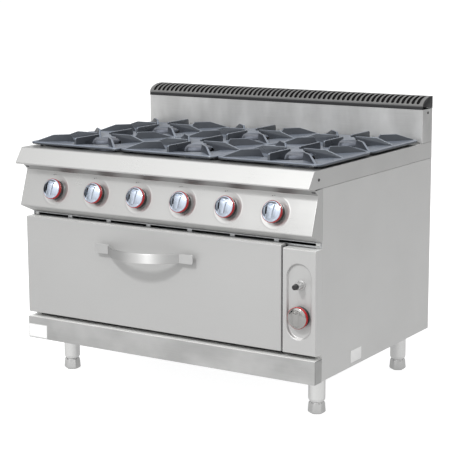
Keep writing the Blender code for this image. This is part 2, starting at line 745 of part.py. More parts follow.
def make_oven_burner():
    """Tubular burner under the sole plate, and the plate itself with heat slots at its sides."""
    front, back = from_back(BODY_DEPTH - 0.120), from_back(OVEN_BACK_DEPTH + 0.120)
    height = OVEN_BOTTOM + 0.0145
    path = [(x, y, height) for x, y in arc((-0.38, front + 0.04), 0.04, 180, 270, 4)]
    path += [(x, y, height) for x, y in arc((0.25, front + 0.04), 0.04, 270, 360, 4)]
    path += [(x, y, height) for x, y in arc((0.25, back - 0.04), 0.04, 0, 90, 4)]
    path += [(x, y, height) for x, y in arc((-0.38, back - 0.04), 0.04, 90, 180, 4)]
    burner = place("oven_burner", tube(path, 0.010, closed=True), BURNER_METAL, smooth=True)
    feed = cylinder(0.0075, front + 0.003, back - 0.003, 8)
    join(burner, feed, location=(OVEN_MIDDLE, 0, height + 0.001), rotation=(-math.pi / 2, 0, 0))

    face = from_back(BODY_DEPTH - 0.025)
    low = (OVEN_LEFT + 0.002, face, SOLE_HEIGHT)
    high = (OVEN_RIGHT - 0.002, from_back(OVEN_BACK_DEPTH + 0.002), SOLE_HEIGHT + 0.003)
    plate = place("oven_sole_plate", box(low, high), ENAMEL)
    for side in (-1, 1):
        x = OVEN_MIDDLE + side * 0.45
        foot_low = (x - 0.004, face + 0.05, OVEN_BOTTOM + GAP)
        foot_high = (x + 0.004, high[1] - 0.05, SOLE_HEIGHT + 0.001)
        join(plate, box(foot_low, foot_high))
        x = OVEN_MIDDLE + side * 0.42
        for step in range(4):
            y = face + 0.10 + step * 0.12
            slot_low = (x - 0.006, y, SOLE_HEIGHT - 0.01)
            slot_high = (x + 0.006, y + 0.07, SOLE_HEIGHT + 0.01)
            cut(plate, box(slot_low, slot_high))


def make_oven_valve():
    """Thermostat valve behind the service box, with the spindle for the oven knob."""
    x, z = OVEN_KNOB
    front = from_back(BOX_FRONT_DEPTH) + RECESS
    low, high = (x - 0.028, front + 0.012, z - 0.040), (x + 0.028, front + 0.070, z + 0.040)
    valve = place("oven_thermostat_valve", box(low, high, "Y", 0.006, 2), BRASS)
    spindle = cylinder(SPINDLE_R, -0.020, 0.019, 12)
    join(valve, spindle, location=(x, front, z), rotation=(math.pi / 2, 0, 0))


# ---------------------------------------------------------------- gas supply


def make_gas_manifold():
    """Gas rail along the front with a tap for each burner, each spindle reaching its knob."""
    frame, spot = panel_frame(0)
    inward = frame.to_3x3() @ Vector((0, 0, -1))
    center = spot + inward * MANIFOLD_DROP
    rail = place(
        "gas_manifold",
        cylinder(0.010, -0.555, 0.515, 16),
        BRASS,
        location=(0, center.y, center.z),
        rotation=(0, math.pi / 2, 0),
    )
    turn = Matrix.Rotation(math.pi / 2, 4, "Y").inverted() @ frame
    for x in KNOB_X:
        at = {"location": (0, 0, x), "rotation": turn.to_euler()}
        join(rail, box((-0.013, -0.013, -0.006), (0.013, 0.013, 0.030)), **at)
        join(rail, cylinder(SPINDLE_R, 0.028, MANIFOLD_DROP - DISH_DEPTH + 0.019, 12), **at)


def make_gas_inlet():
    """Inlet pipe from the rail to the threaded end at the back."""
    frame, spot = panel_frame(0)
    start = spot + frame.to_3x3() @ Vector((0, 0, -MANIFOLD_DROP))
    bend = 0.030
    path = [(0.5155, start.y, start.z)]
    path += [(x, y, start.z) for x, y in arc((INLET_X - bend, start.y + bend), bend, -90, 0, 5)]
    low = Vector((INLET_X, start.y + 0.10, start.z))
    high = Vector((INLET_X, from_back(0.10), INLET_Z))
    path += [tuple(low), tuple(high), (INLET_X, from_back(0.0), INLET_Z)]
    pipe = place("gas_inlet_pipe", tube(path, 0.0105), BRASS, smooth=True)
    end = (INLET_X, from_back(0.0), INLET_Z)
    cut(pipe, cylinder(0.007, -0.05, 0.05, 12), location=end, rotation=(math.pi / 2, 0, 0))


# ---------------------------------------------------------------- burners and pan supports


def make_burners():
    """Each burner: a body that stands in the well through its hole, and a loose cap on top."""
    floor = WELL_FLOOR + GAP
    body_profile = [
        (0.0, 0.852),
        (0.040, 0.852),
        (0.046, 0.848),
        (0.046, 0.838),
        (0.036, 0.832),
        (0.036, floor + 0.004),
        (0.048, floor + 0.003),
        (0.048, floor),
        (0.030, floor),
        (0.022, 0.800),
        (0.0, 0.800),
    ]
    cap_profile = [
        (0.0, 0.8690),
        (0.034, 0.8685),
        (0.050, 0.8660),
        (0.0545, 0.8620),
        (0.0545, 0.8560),
        (0.048, 0.852 + GAP),
        (0.0, 0.852 + GAP),
    ]
    for number, (x, y) in enumerate(burner_centers(), start=1):
        turned(f"burner_body_{number}", body_profile, BURNER_METAL, steps=14, location=(x, y, 0))
        turned(f"burner_cap_{number}", cap_profile, BURNER_METAL, steps=16, location=(x, y, 0))


def burner_centers():
    return [(x, from_back(depth)) for depth in ROW_DEPTHS for x in COLUMNS]


def fin(points):
    """A fin's side view, drawn with its distance from the burner's axis along X and its height along Y."""
    turn = Matrix(((1, 0, 0, 0), (0, 0, -1, 0), (0, 1, 0, 0), (0, 0, 0, 1)))
    return prism(points, -FIN_WIDTH / 2, FIN_WIDTH / 2, turn)


def support_fins():
    """Angle of each fin about the burner's axis, with its outline."""
    root = SUPPORT_BOTTOM + 0.001
    reach = [(0.033, FIN_TOP - 0.0035), (0.036, FIN_TOP)]
    under = [(0.078, root), (0.070, SUPPORT_TOP - 0.001), (0.056, FIN_TOP - 0.011)]
    upright = reach + [(0.168, FIN_TOP), (0.172, FIN_TOP - 0.004), (0.172, root)] + under
    sloping = reach + [(0.1205, FIN_TOP), (0.183, SUPPORT_TOP), (0.183, root)] + under
    corner = [
        (0.105, root - 0.004),
        (0.122, FIN_TOP - 0.001),
        (0.126, FIN_TOP),
        (0.184, FIN_TOP),
        (0.250, SUPPORT_TOP),
        (0.250, root),
        (0.112, root - 0.004),
    ]
    outlines = {90: upright, 270: upright, 0: sloping, 180: sloping}
    outlines.update({angle: corner for angle in (45, 135, 225, 315)})
    return outlines


def make_pan_supports():
    """Cast grids: a square plate with a round opening and eight fins, on four small feet."""
    half_x, half_y = SUPPORT_SIZE[0] / 2, SUPPORT_SIZE[1] / 2
    for number, (x, y) in enumerate(burner_centers(), start=1):
        plate = box((-half_x, -half_y, SUPPORT_BOTTOM), (half_x, half_y, SUPPORT_TOP), "Z", 0.022, 3)
        support = place(f"pan_support_{number}", plate, CAST_IRON, location=(x, y, 0))
        cut(support, cylinder(SUPPORT_OPENING_R, SUPPORT_BOTTOM - 0.01, SUPPORT_TOP + 0.01, 20))
        for angle, points in support_fins().items():
            join(support, fin(points), rotation=(0, 0, math.radians(angle)))
        for side_x in (-1, 1):
            for side_y in (-1, 1):
                foot = cylinder(0.006, HOB_TOP + GAP, SUPPORT_BOTTOM + 0.001, 6)
                join(support, foot, location=(side_x * (half_x - 0.012), side_y * (half_y - 0.012), 0))


# ---------------------------------------------------------------- legs


def make_legs():
    """Round leg with a drawn-in neck, and the stem of its six-sided levelling foot in its bore."""
    neck_top, hexagon_top = FOOT_HEIGHT + 0.007, 0.0245
    for name, x, depth in (
        ("front_left", -LEG_X, LEG_DEPTHS[0]),
        ("front_right", LEG_X, LEG_DEPTHS[0]),
        ("rear_left", -LEG_X, LEG_DEPTHS[1]),
        ("rear_right", LEG_X, LEG_DEPTHS[1]),
    ):
        where = (x, from_back(depth), 0)
        tube_mesh = cylinder(LEG_R, neck_top, BODY_BOTTOM - 0.002, 24)
        leg = place(f"leg_{name}", tube_mesh, STEEL, location=where, smooth=True)
        join(leg, cylinder(LEG_NECK_R, FOOT_HEIGHT, neck_top + 0.0001, 24, LEG_R))
        join(leg, box((-0.045, -0.045, BODY_BOTTOM - 0.003), (0.045, 0.045, BODY_BOTTOM), "Z", 0.008, 2))
        cut(leg, cylinder(0.0125, 0.03, FOOT_HEIGHT + 0.060, 16))
        sole = cylinder(FOOT_R - 0.003, 0.0, 0.005, 6, FOOT_R + 0.001)
        foot = place(f"foot_{name}", sole, ZINC, location=where)
        join(foot, cylinder(FOOT_R + 0.001, 0.0045, hexagon_top, 6, LEG_NECK_R + 0.001))
        join(foot, cylinder(LEG_NECK_R - 0.0007, hexagon_top - 0.001, FOOT_HEIGHT - GAP, 24))
        join(foot, cylinder(0.012, FOOT_HEIGHT - 0.005, FOOT_HEIGHT + 0.050, 16))


make_side_panels()
make_back_panel()
make_base_panel()
make_plinth()
make_hob_top()
make_splashback()
make_vent_cap()
make_control_panel()
make_vent_strip()
make_knobs()
make_control_box()
make_igniter()
make_door()
make_hinge_arms()
make_oven_liner()
make_oven_gasket()
make_oven_rack()
make_oven_burner()
make_oven_valve()
make_gas_manifold()
make_gas_inlet()
make_burners()
make_pan_supports()
make_legs()
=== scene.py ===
"""Looks for a commercial gas range: six open burners over an oven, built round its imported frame.

Lengths are in metres in the frame of the CAD: +X to the right, +Y to the back, +Z up, and the
origin on the floor. Pieces take their places from the CAD nodes that they stand for.
"""

import json
import math

import bmesh
import bpy
from mathutils import Matrix, Vector

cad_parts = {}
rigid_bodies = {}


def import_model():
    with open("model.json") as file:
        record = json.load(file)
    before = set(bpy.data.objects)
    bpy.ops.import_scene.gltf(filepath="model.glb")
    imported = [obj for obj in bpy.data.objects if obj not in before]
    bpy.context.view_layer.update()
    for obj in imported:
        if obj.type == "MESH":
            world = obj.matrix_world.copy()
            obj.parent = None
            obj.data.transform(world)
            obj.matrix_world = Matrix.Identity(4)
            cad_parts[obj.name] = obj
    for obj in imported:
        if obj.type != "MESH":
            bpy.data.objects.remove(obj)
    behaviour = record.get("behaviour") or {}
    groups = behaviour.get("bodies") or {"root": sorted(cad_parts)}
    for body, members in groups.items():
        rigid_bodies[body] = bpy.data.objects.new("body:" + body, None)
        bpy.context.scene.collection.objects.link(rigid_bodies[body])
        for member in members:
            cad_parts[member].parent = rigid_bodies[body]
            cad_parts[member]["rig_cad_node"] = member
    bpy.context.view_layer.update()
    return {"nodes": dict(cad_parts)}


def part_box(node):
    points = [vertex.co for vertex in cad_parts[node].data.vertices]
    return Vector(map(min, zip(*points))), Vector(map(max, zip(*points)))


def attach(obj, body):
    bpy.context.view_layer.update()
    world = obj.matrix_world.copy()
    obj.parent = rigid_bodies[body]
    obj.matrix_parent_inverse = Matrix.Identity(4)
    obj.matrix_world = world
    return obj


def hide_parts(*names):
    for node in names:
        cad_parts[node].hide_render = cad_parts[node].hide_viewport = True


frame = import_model()
NODES = frame["nodes"]
SCENE = bpy.context.scene

# Dimensions that the CAD source and these pieces share
SUPPORT_OPENING_R = 0.085
FIN_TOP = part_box("pan_support_1")[1].z
DISH_R, DISH_DEPTH = 0.052, 0.0007
RECESS = 0.010
RECESS_WIDTH, RECESS_HEIGHT = 0.088, 0.250
RECESS_MIDDLE = (0.537, 0.416)
SLOT_COUNT, SLOT_PITCH, SLOT_WIDTH = 58, 0.0203, 0.0124
HANDLE_END = 0.149
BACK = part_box("side_panel_right")[1].y
KNOB_NAMES = [f"burner_knob_{number}" for number in range(1, 7)]

# ---------------------------------------------------------------- materials

# Places of the colours in a Mix node's lists of sockets
MIX_UNDER, MIX_OVER, MIX_RESULT = 6, 7, 2


def add_node(tree, kind, inputs=(), **settings):
    """A new node, with its settings made first, and each input linked to a socket or given a value."""
    made = tree.nodes.new(kind)
    for name, value in settings.items():
        setattr(made, name, value)
    for name, value in dict(inputs).items():
        if isinstance(value, bpy.types.NodeSocket):
            tree.links.new(value, made.inputs[name])
        else:
            made.inputs[name].default_value = value
    return made


class Look:
    """A material being built, with short ways to add nodes to it."""

    def __init__(self, name, color, roughness, metallic=0.0, **sockets):
        self.material = bpy.data.materials.new(name)
        self.material.use_nodes = True
        self.tree = self.material.node_tree
        self.shader = self.tree.nodes["Principled BSDF"]
        self.shader.inputs["Base Color"].default_value = (*color, 1.0)
        self.shader.inputs["Roughness"].default_value = roughness
        self.shader.inputs["Metallic"].default_value = metallic
        for socket, value in sockets.items():
            self.shader.inputs[socket.replace("_", " ")].default_value = value
        self.material.diffuse_color = (*color, 1.0)
        self.normal = None

    def add(self, kind, inputs=(), **settings):
        return add_node(self.tree, kind, inputs, **settings)

    def coordinates(self, stretch=(1, 1, 1), turn=(0, 0, 0)):
        where = self.add("ShaderNodeTexCoord").outputs["Object"]
        inputs = {"Vector": where, "Scale": stretch, "Rotation": turn}
        return self.add("ShaderNodeMapping", inputs).outputs["Vector"]

    def noise(self, scale, detail=2.0):
        """Noise at a scale, or at a scale and a stretch along each axis."""
        scale, stretch = scale if isinstance(scale, tuple) else (scale, (1, 1, 1))
        inputs = {"Vector": self.coordinates(stretch), "Scale": scale, "Detail": detail}
        return self.add("ShaderNodeTexNoise", inputs).outputs["Fac"]

    def cells(self, scale, output="Distance"):
        inputs = {"Vector": self.coordinates(), "Scale": scale}
        return self.add("ShaderNodeTexVoronoi", inputs).outputs[output]

    def ramp(self, value, before, after, low, high):
        """The value, taken from the range before..after to low..high and held there."""
        inputs = {"Value": value, "From Min": before, "From Max": after, "To Min": low, "To Max": high}
        return self.add("ShaderNodeMapRange", inputs).outputs["Result"]

    def sum(self, first, second, operation="ADD"):
        return self.add("ShaderNodeMath", {0: first, 1: second}, operation=operation).outputs[0]

    def tint(self, factor, color):
        """Lays a colour over the base colour where the factor is 1."""
        base = self.shader.inputs["Base Color"]
        under = base.links[0].from_socket if base.links else tuple(base.default_value)
        inputs = {0: factor, MIX_UNDER: under, MIX_OVER: (*color, 1.0)}
        made = self.add("ShaderNodeMix", inputs, data_type="RGBA")
        self.tree.links.new(made.outputs[MIX_RESULT], base)

    def rough(self, value):
        self.tree.links.new(value, self.shader.inputs["Roughness"])

    def bump(self, height, distance, strength=1.0):
        inputs = {"Height": height, "Distance": distance, "Strength": strength}
        if self.normal is not None:
            inputs["Normal"] = self.normal
        self.normal = self.add("ShaderNodeBump", inputs).outputs["Normal"]
        self.tree.links.new(self.normal, self.shader.inputs["Normal"])


def scaled(color, factor):
    """The colour made lighter or darker."""
    return tuple(min(1.0, channel * factor) for channel in color)


def surface(name, color, roughness, metallic=0.0, tints=(), gloss=(), bumps=(), **sockets):
    """A material from rows of noise, each of which starts with a scale and a detail. A tint row goes on with
    the range over which it sets in, its strength and its colour, the gloss row with the least and the
    greatest roughness, and a bump row with its height and its strength."""
    look = Look(name, color, roughness, metallic, **sockets)
    for scale, detail, before, after, strength, over in tints:
        look.tint(look.ramp(look.noise(scale, detail), before, after, 0.0, strength), over)
    scale, detail, low, high = gloss
    look.rough(look.ramp(look.noise(scale, detail), 0.3, 0.7, low, high))
    for scale, detail, distance, strength in bumps:
        look.bump(look.noise(scale, detail), distance, strength)
    return look.material


def steel(name, color, roughness, grain, cloud=0.02, cloud_stretch=(1, 1, 1), metallic=0.82):
    """Brushed stainless sheet: fine grain, soft clouds, rubbed patches and faint scratches."""
    look = Look(name, color, roughness, metallic)
    clouds = look.noise((3.0, cloud_stretch), 3.0)
    look.tint(look.ramp(clouds, 0.35, 0.65, 0.0, 1.0), scaled(color, 1.0 - cloud))
    lines = look.noise((1.0, grain))
    look.tint(look.ramp(lines, 0.40, 0.75, 0.0, 0.35), scaled(color, 1.07))
    scratches = look.noise((1.0, tuple(0.35 * value for value in grain)), 3.0)
    look.tint(look.ramp(scratches, 0.70, 0.78, 0.0, 0.16), scaled(color, 1.15))
    rubbed = look.ramp(look.noise(9.0, 4.0), 0.3, 0.7, roughness - 0.03, roughness + 0.04)
    look.rough(look.sum(rubbed, look.ramp(lines, 0.3, 0.7, -0.02, 0.02)))
    look.bump(lines, 0.00002, 0.3)
    look.bump(look.noise(4.0, 1.0), 0.0010, 0.08)
    return look.material


GRAIN_X = (9, 1400, 1400)
GRAIN_Y = (1400, 9, 1400)
GRAIN_Z = (1400, 1400, 9)
STEEL_TONE = (0.555, 0.555, 0.550)
BRIGHT_TONE = (0.640, 0.640, 0.632)


def cast_iron(name, color):
    return surface(
        name, color, 0.33,
        tints=[
            (14.0, 4.0, 0.35, 0.70, 0.8, scaled(color, 1.35)),
            (160.0, 3.0, 0.60, 0.78, 0.5, scaled(color, 0.72)),
        ],
        gloss=(30.0, 3.0, 0.27, 0.40), bumps=[(900.0, 2.0, 0.0003, 0.5), (70.0, 3.0, 0.0009, 0.35)],
        Specular_IOR_Level=1.0, Specular_Tint=(0.86, 0.93, 1.0, 1.0),
    )


def chrome(name, color):
    return surface(
        name, color, 0.07, 1.0,
        tints=[(90.0, 2.0, 0.4, 0.8, 0.3, scaled(color, 0.90))],
        gloss=((120.0, (1, 1, 6)), 4.0, 0.05, 0.12), bumps=[((1200.0, (1, 8, 1)), 2.0, 0.00003, 0.2)],
    )


def make_enamel():
    """Black vitreous enamel with the fine pale flecks of an oven's lining."""
    look = Look("speckled_enamel", (0.014, 0.015, 0.018), 0.16, Coat_Weight=0.3, Coat_Roughness=0.08)
    flecks = look.ramp(look.cells(420.0), 0.10, 0.16, 1.0, 0.0)
    choice = look.ramp(look.noise(260.0, 1.0), 0.52, 0.58, 0.0, 0.7)
    look.tint(look.sum(flecks, choice, "MULTIPLY"), (0.260, 0.270, 0.290))
    look.rough(look.ramp(look.noise(25.0, 4.0), 0.3, 0.7, 0.12, 0.30))
    look.bump(look.noise(60.0), 0.0004, 0.2)
    return look.material


def vent_paint(name, color, roughness):
    return surface(
        name, color, roughness, tints=[(30.0, 3.0, 0.4, 0.7, 0.7, scaled(color, 0.86))],
        gloss=(45.0, 3.0, roughness - 0.05, roughness + 0.08), bumps=[(500.0, 2.0, 0.0002, 0.3)],
        Specular_IOR_Level=0.25,
    )


def make_zinc():
    """Galvanised sheet, with its crystals as cells of slightly different grey."""
    look = Look("galvanised", (0.520, 0.530, 0.540), 0.42, 0.9)
    crystal = look.add("ShaderNodeSeparateColor", {"Color": look.cells(190.0, "Color")}).outputs[0]
    look.tint(look.ramp(crystal, 0.1, 0.9, 0.0, 1.0), (0.440, 0.450, 0.464))
    look.tint(look.ramp(look.noise(6.0, 3.0), 0.5, 0.75, 0.0, 0.4), (0.610, 0.610, 0.605))
    look.rough(look.ramp(crystal, 0.0, 1.0, 0.34, 0.52))
    look.bump(look.cells(190.0), 0.0002, 0.10)
    return look.material


def make_gasket():
    """Braided glass-fibre rope."""
    look = Look("gasket_braid", (0.115, 0.112, 0.105), 0.85)
    for turn in (0.7, -0.7):
        inputs = {"Vector": look.coordinates((1, 1, 1), (turn, turn, turn)), "Scale": 260.0}
        strand = look.add("ShaderNodeTexWave", inputs).outputs["Fac"]
        # The grooves between strands are darkened: painted shade in the creases.
        look.tint(look.ramp(strand, 0.0, 0.5, 0.6, 0.0), (0.035, 0.034, 0.032))
        look.bump(strand, 0.0006, 0.6)
    look.rough(look.ramp(look.noise(300.0), 0.3, 0.7, 0.75, 0.95))
    return look.material


def label_print(name, color):
    return surface(
        name, color, 0.45, tints=[(50.0, 3.0, 0.4, 0.8, 0.5, scaled(color, 0.90))],
        gloss=(90.0, 2.0, 0.35, 0.60), bumps=[(180.0, 2.0, 0.0002, 0.2)],
    )


BODY_FRONT = steel("steel_front", scaled(STEEL_TONE, 0.83), 0.54, GRAIN_X, metallic=0.45)
# Steel of the side panels; on the control box's right-hand faces it is painted light that brightens that side.
SIDE_STEEL_AND_BOX_SIDE_LIGHT = steel("steel_side_and_painted_box_light", scaled(STEEL_TONE, 1.24), 0.42, GRAIN_Y, metallic=0.72)
BODY_POST = steel("steel_leg", scaled(STEEL_TONE, 1.60), 0.18, GRAIN_Z, 0.08, metallic=1.0)
SPLASH_STEEL = steel("steel_splash", scaled(STEEL_TONE, 1.10), 0.40, GRAIN_X, 0.22, (4, 4, 1.6), 0.62)
PANEL_STEEL = steel("steel_panel", scaled(BRIGHT_TONE, 0.83), 0.30, GRAIN_X, 0.015, metallic=0.82)
CHIN_STEEL = steel("steel_chin", scaled(STEEL_TONE, 0.92), 0.55, GRAIN_X, 0.015, metallic=0.6)
BAND_STEEL = steel("steel_band", scaled(STEEL_TONE, 0.80), 0.42, GRAIN_X, 0.015, metallic=0.9)
PLINTH_STEEL = steel("steel_plinth", scaled(STEEL_TONE, 0.88), 0.40, GRAIN_X, 0.24, (2, 2, 3), 0.55)
FOOT_STEEL = steel("steel_foot", scaled(STEEL_TONE, 1.25), 0.20, GRAIN_Z, 0.10, metallic=1.0)
HOB_STEEL = steel("steel_hob", scaled(BRIGHT_TONE, 0.87), 0.30, GRAIN_X, 0.02, metallic=0.85)
SKIRT_STEEL = steel("steel_skirt", scaled(STEEL_TONE, 1.08), 0.40, GRAIN_Y, metallic=0.8)
# Near-white steel for faces that look up: a painted highlight on the tops of the plinth, the door and the
# control box.
PAINTED_TOP_HIGHLIGHT_STEEL = steel("steel_painted_top_highlight", scaled(BRIGHT_TONE, 1.45), 0.50, GRAIN_X, metallic=0.3)
BOX_STEEL = steel("steel_box", scaled(STEEL_TONE, 0.92), 0.48, GRAIN_Z, metallic=0.58)
POLISHED = surface(
    "polished_steel", (0.600, 0.600, 0.596), 0.26, 0.9,
    tints=[((1.0, GRAIN_Z), 2.0, 0.35, 0.75, 0.5, (0.600, 0.600, 0.598))],
    gloss=(35.0, 4.0, 0.22, 0.33), bumps=[((1.0, (700, 700, 14)), 2.0, 0.00003, 0.25)],
)
# Brushed along its length, so that a lamp's glint spreads up and down the strip
HANDLE_STEEL = surface(
    "steel_handle", (0.600, 0.600, 0.595), 0.45, 1.0,
    tints=[((1.0, GRAIN_X), 2.0, 0.35, 0.75, 0.6, (0.650, 0.650, 0.645))],
    gloss=(12.0, 3.0, 0.42, 0.48), bumps=[((1.0, GRAIN_X), 2.0, 0.00002, 0.2)],
    Anisotropic=0.75, Anisotropic_Rotation=0.25,
)
CAST_IRON = cast_iron("cast_iron", (0.036, 0.039, 0.046))
# A lighter copy of the cast iron for faces that look up: painted sheen and light on the tops of the grids.
IRON_PAINTED_TOP_SHEEN = cast_iron("cast_iron_painted_top_sheen", (0.128, 0.145, 0.178))
BURNER_METAL = surface(
    "burner_metal_cast", (0.150, 0.165, 0.200), 0.42, 0.35,
    tints=[
        (40.0, 4.0, 0.4, 0.7, 0.7, (0.110, 0.118, 0.140)),
        (22.0, 2.0, 0.58, 0.72, 0.5, (0.175, 0.155, 0.140)),
    ],
    gloss=(60.0, 3.0, 0.42, 0.62), bumps=[(650.0, 2.0, 0.0003, 0.4)],
)
CHROME = chrome("knob_chrome", (0.610, 0.680, 0.790))
WARM_CHROME = chrome("oven_knob_chrome", (0.420, 0.415, 0.405))
RED = surface(
    "red_ring", (0.440, 0.009, 0.012), 0.30, tints=[(70.0, 2.0, 0.35, 0.75, 0.6, (0.310, 0.005, 0.008))],
    gloss=(200.0, 3.0, 0.20, 0.32), Specular_IOR_Level=0.3,
)
PLASTIC = surface(
    "black_plastic", (0.016, 0.016, 0.017), 0.42, tints=[(55.0, 3.0, 0.4, 0.8, 0.6, (0.030, 0.030, 0.032))],
    gloss=(110.0, 3.0, 0.36, 0.52), bumps=[(1500.0, 2.0, 0.00008, 0.4)],
)
BRASS = surface(
    "brass", (0.640, 0.450, 0.190), 0.32, 1.0, tints=[(35.0, 4.0, 0.4, 0.7, 0.7, (0.380, 0.250, 0.110))],
    gloss=(80.0, 3.0, 0.26, 0.46), bumps=[(700.0, 2.0, 0.0001, 0.3)],
)
ENAMEL = make_enamel()
VENT_PAINT = vent_paint("vent_paint", (0.168, 0.167, 0.165), 0.40)
VENT_BAND = vent_paint("vent_band", (0.028, 0.028, 0.029), 0.45)
# Near-black for a sheet inside the vent cap: painted shade behind the slots.
VENT_PAINTED_SHADE = vent_paint("vent_painted_shade_black", (0.004, 0.004, 0.004), 0.90)
ZINC = make_zinc()
GASKET = make_gasket()
WHITE_MARK = label_print("white_mark", (0.94, 0.94, 0.935))
# Dark print for the burner marks; on the tiles at the band's ends the same colour is painted shade standing in
# for open slots.
DARK_PRINT_AND_SLOT_SHADE = label_print("dark_print_and_painted_slot_shade", (0.050, 0.050, 0.055))
LABEL = label_print("blank_label", (0.660, 0.660, 0.655))

# ---------------------------------------------------------------- mesh builders


def finished(bm, name):
    """A mesh from the parts gathered so far, welded, with its faces outwards."""
    bmesh.ops.remove_doubles(bm, verts=bm.verts[:], dist=1e-6)
    bmesh.ops.recalc_face_normals(bm, faces=bm.faces[:])
    if bm.calc_volume(signed=True) < 0:
        bmesh.ops.reverse_faces(bm, faces=bm.faces[:])
    mesh = bpy.data.meshes.new(name)
    bm.to_mesh(mesh)
    bm.free()
    return mesh


def add_loft(bm, rings, caps=(True, True)):
    """Skins a row of rings that all have the same number of points."""
    rows = [[bm.verts.new(point) for point in ring] for ring in rings]
    count = len(rows[0])
    for first, second in zip(rows, rows[1:]):
        for index in range(count):
            after = (index + 1) % count
            bm.faces.new((first[index], first[after], second[after], second[index]))
    for wanted, row in zip(caps, (rows[0], rows[-1])):
        if wanted:
            bm.faces.new(row)


def loft(rings, name="loft"):
    bm = bmesh.new()
    add_loft(bm, rings)
    return finished(bm, name)


def circle(radius, height, steps, start=0.0):
    turn = 2 * math.pi / steps
    return [
        (radius * math.cos(start + index * turn), radius * math.sin(start + index * turn), height)
        for index in range(steps)
    ]


def turned(profile, steps=64, name="turned"):
    """A turned solid from its half section, as (radius, height) from one end to the other."""
    return loft([circle(max(radius, 1e-7), height, steps) for radius, height in profile], name=name)


def arc(center, radius, start, end, steps):
    """Points on an arc, angles in degrees."""
    angles = [math.radians(start + (end - start) * index / steps) for index in range(steps + 1)]
    return [(center[0] + radius * math.cos(turn), center[1] + radius * math.sin(turn)) for turn in angles]


def quarter(steps):
    """A quarter turn in steps, as pairs of 1 - cos and 1 - sin: the fall and the reach of a rounded edge."""
    angles = [math.pi / 2 * step / steps for step in range(steps + 1)]
    return [(1 - math.cos(angle), 1 - math.sin(angle)) for angle in angles]


def fillet(points, radii, steps=5):
    """Rounds the corners of a closed 2D outline, each with its own radius."""
    rounded = []
    for index, point in enumerate(points):
        radius = radii[index] if hasattr(radii, "__len__") else radii
        if radius <= 0:
            rounded.append(tuple(point))
            continue
        here = Vector(point)
        before = Vector(points[index - 1]) - here
        after = Vector(points[(index + 1) % len(points)]) - here
        half = before.angle(after) / 2
        reach = min(radius / math.tan(half), 0.49 * before.length, 0.49 * after.length)
        start, end = here + before.normalized() * reach, here + after.normalized() * reach
        for step in range(steps + 1):
            share = step / steps
            curve = start * (1 - share) ** 2 + here * 2 * share * (1 - share) + end * share**2
            rounded.append(tuple(curve))
    return rounded


def inset(points, distance):
    """The closed outline moved inwards; it runs anticlockwise when seen from its front."""
    moved = []
    for index, point in enumerate(points):
        along = (Vector(points[(index + 1) % len(points)]) - Vector(points[index - 1])).normalized()
        moved.append((point[0] - along.y * distance, point[1] + along.x * distance))
    return moved


def area(points):
    pairs = zip(points, points[1:] + points[:1])
    return sum(a[0] * b[1] - b[0] * a[1] for a, b in pairs) / 2


def slab(outline, low, high, edge=0.0008, steps=2):
    """A flat outline in XY given thickness along Z, with rounded edges at both faces."""
    outline = outline if area(outline) > 0 else outline[::-1]
    rings = []
    for level, sign in ((low, 1), (high, -1)):
        part = [
            [(x, y, level + sign * edge * fall) for x, y in inset(outline, edge * reach)]
            for fall, reach in quarter(steps)
        ]
        rings += part[::sign]
    return rings


def obround(center, width, height, steps=16):
    radius = width / 2
    middle = height / 2 - radius
    top = arc((center[0], center[1] + middle), radius, 0, 180, steps)
    return top + arc((center[0], center[1] - middle), radius, 180, 360, steps)


def rounded_box(low, high, radius, steps=6):
    """Rounded rectangle between two corners, anticlockwise."""
    left, bottom = low[0] + radius, low[1] + radius
    right, top = high[0] - radius, high[1] - radius
    points = []
    for start, corner in (
        (0, (right, top)), (90, (left, top)), (180, (left, bottom)), (270, (right, bottom))
    ):
        points += arc(corner, radius, start, start + 90, steps)
    return points


def tile(low, high, corner, steps, bottom, top, edge, name):
    """A thin plate with round corners, between two levels along Z."""
    return loft(slab(rounded_box(low, high, corner, steps), bottom, top, edge), name)


def section_along_x(section, ends, places=(), end_radius=0.0015, shift=None, end_steps=3):
    """A closed section in (Y, Z) drawn along X, with rounded ends. The section runs so that its right side is
    outside. shift(x, row) moves a point inwards."""
    count = len(section)
    normals = []
    for index in range(count):
        along = Vector(section[(index + 1) % count]) - Vector(section[index - 1])
        normals.append(Vector((along.y, -along.x)).normalized())
    edge = [(end_radius * reach, end_radius * fall) for fall, reach in quarter(end_steps)]
    columns = [(ends[0] + along, depth) for along, depth in edge[::-1]]
    columns += [(x, 0.0) for x in places]
    columns += [(ends[1] - along, depth) for along, depth in edge]
    rings = []
    for x, depth in columns:
        ring = []
        for row, ((y, z), normal) in enumerate(zip(section, normals)):
            move = depth + (shift(x, row) if shift else 0.0)
            ring.append((x, y - normal.x * move, z - normal.y * move))
        rings.append(ring)
    return loft(rings, "section")


def tube_along(path, radius, sides=16, closed=False):
    """A round bar along a smooth path of points."""
    points = [Vector(point) for point in path]
    count = len(points)
    rings = []
    across = None
    for index, point in enumerate(points):
        before = points[index - 1] if closed or index else point
        after = points[(index + 1) % count] if closed or index < count - 1 else point
        along = (after - before).normalized()
        if across is None:
            across = along.orthogonal().normalized()
        across = (across - along * across.dot(along)).normalized()
        other = along.cross(across)
        rings.append([
            point + (across * math.cos(turn) + other * math.sin(turn)) * radius
            for turn in (2 * math.pi * side / sides for side in range(sides))
        ])
    if closed:
        rings.append(rings[0])
    return rings


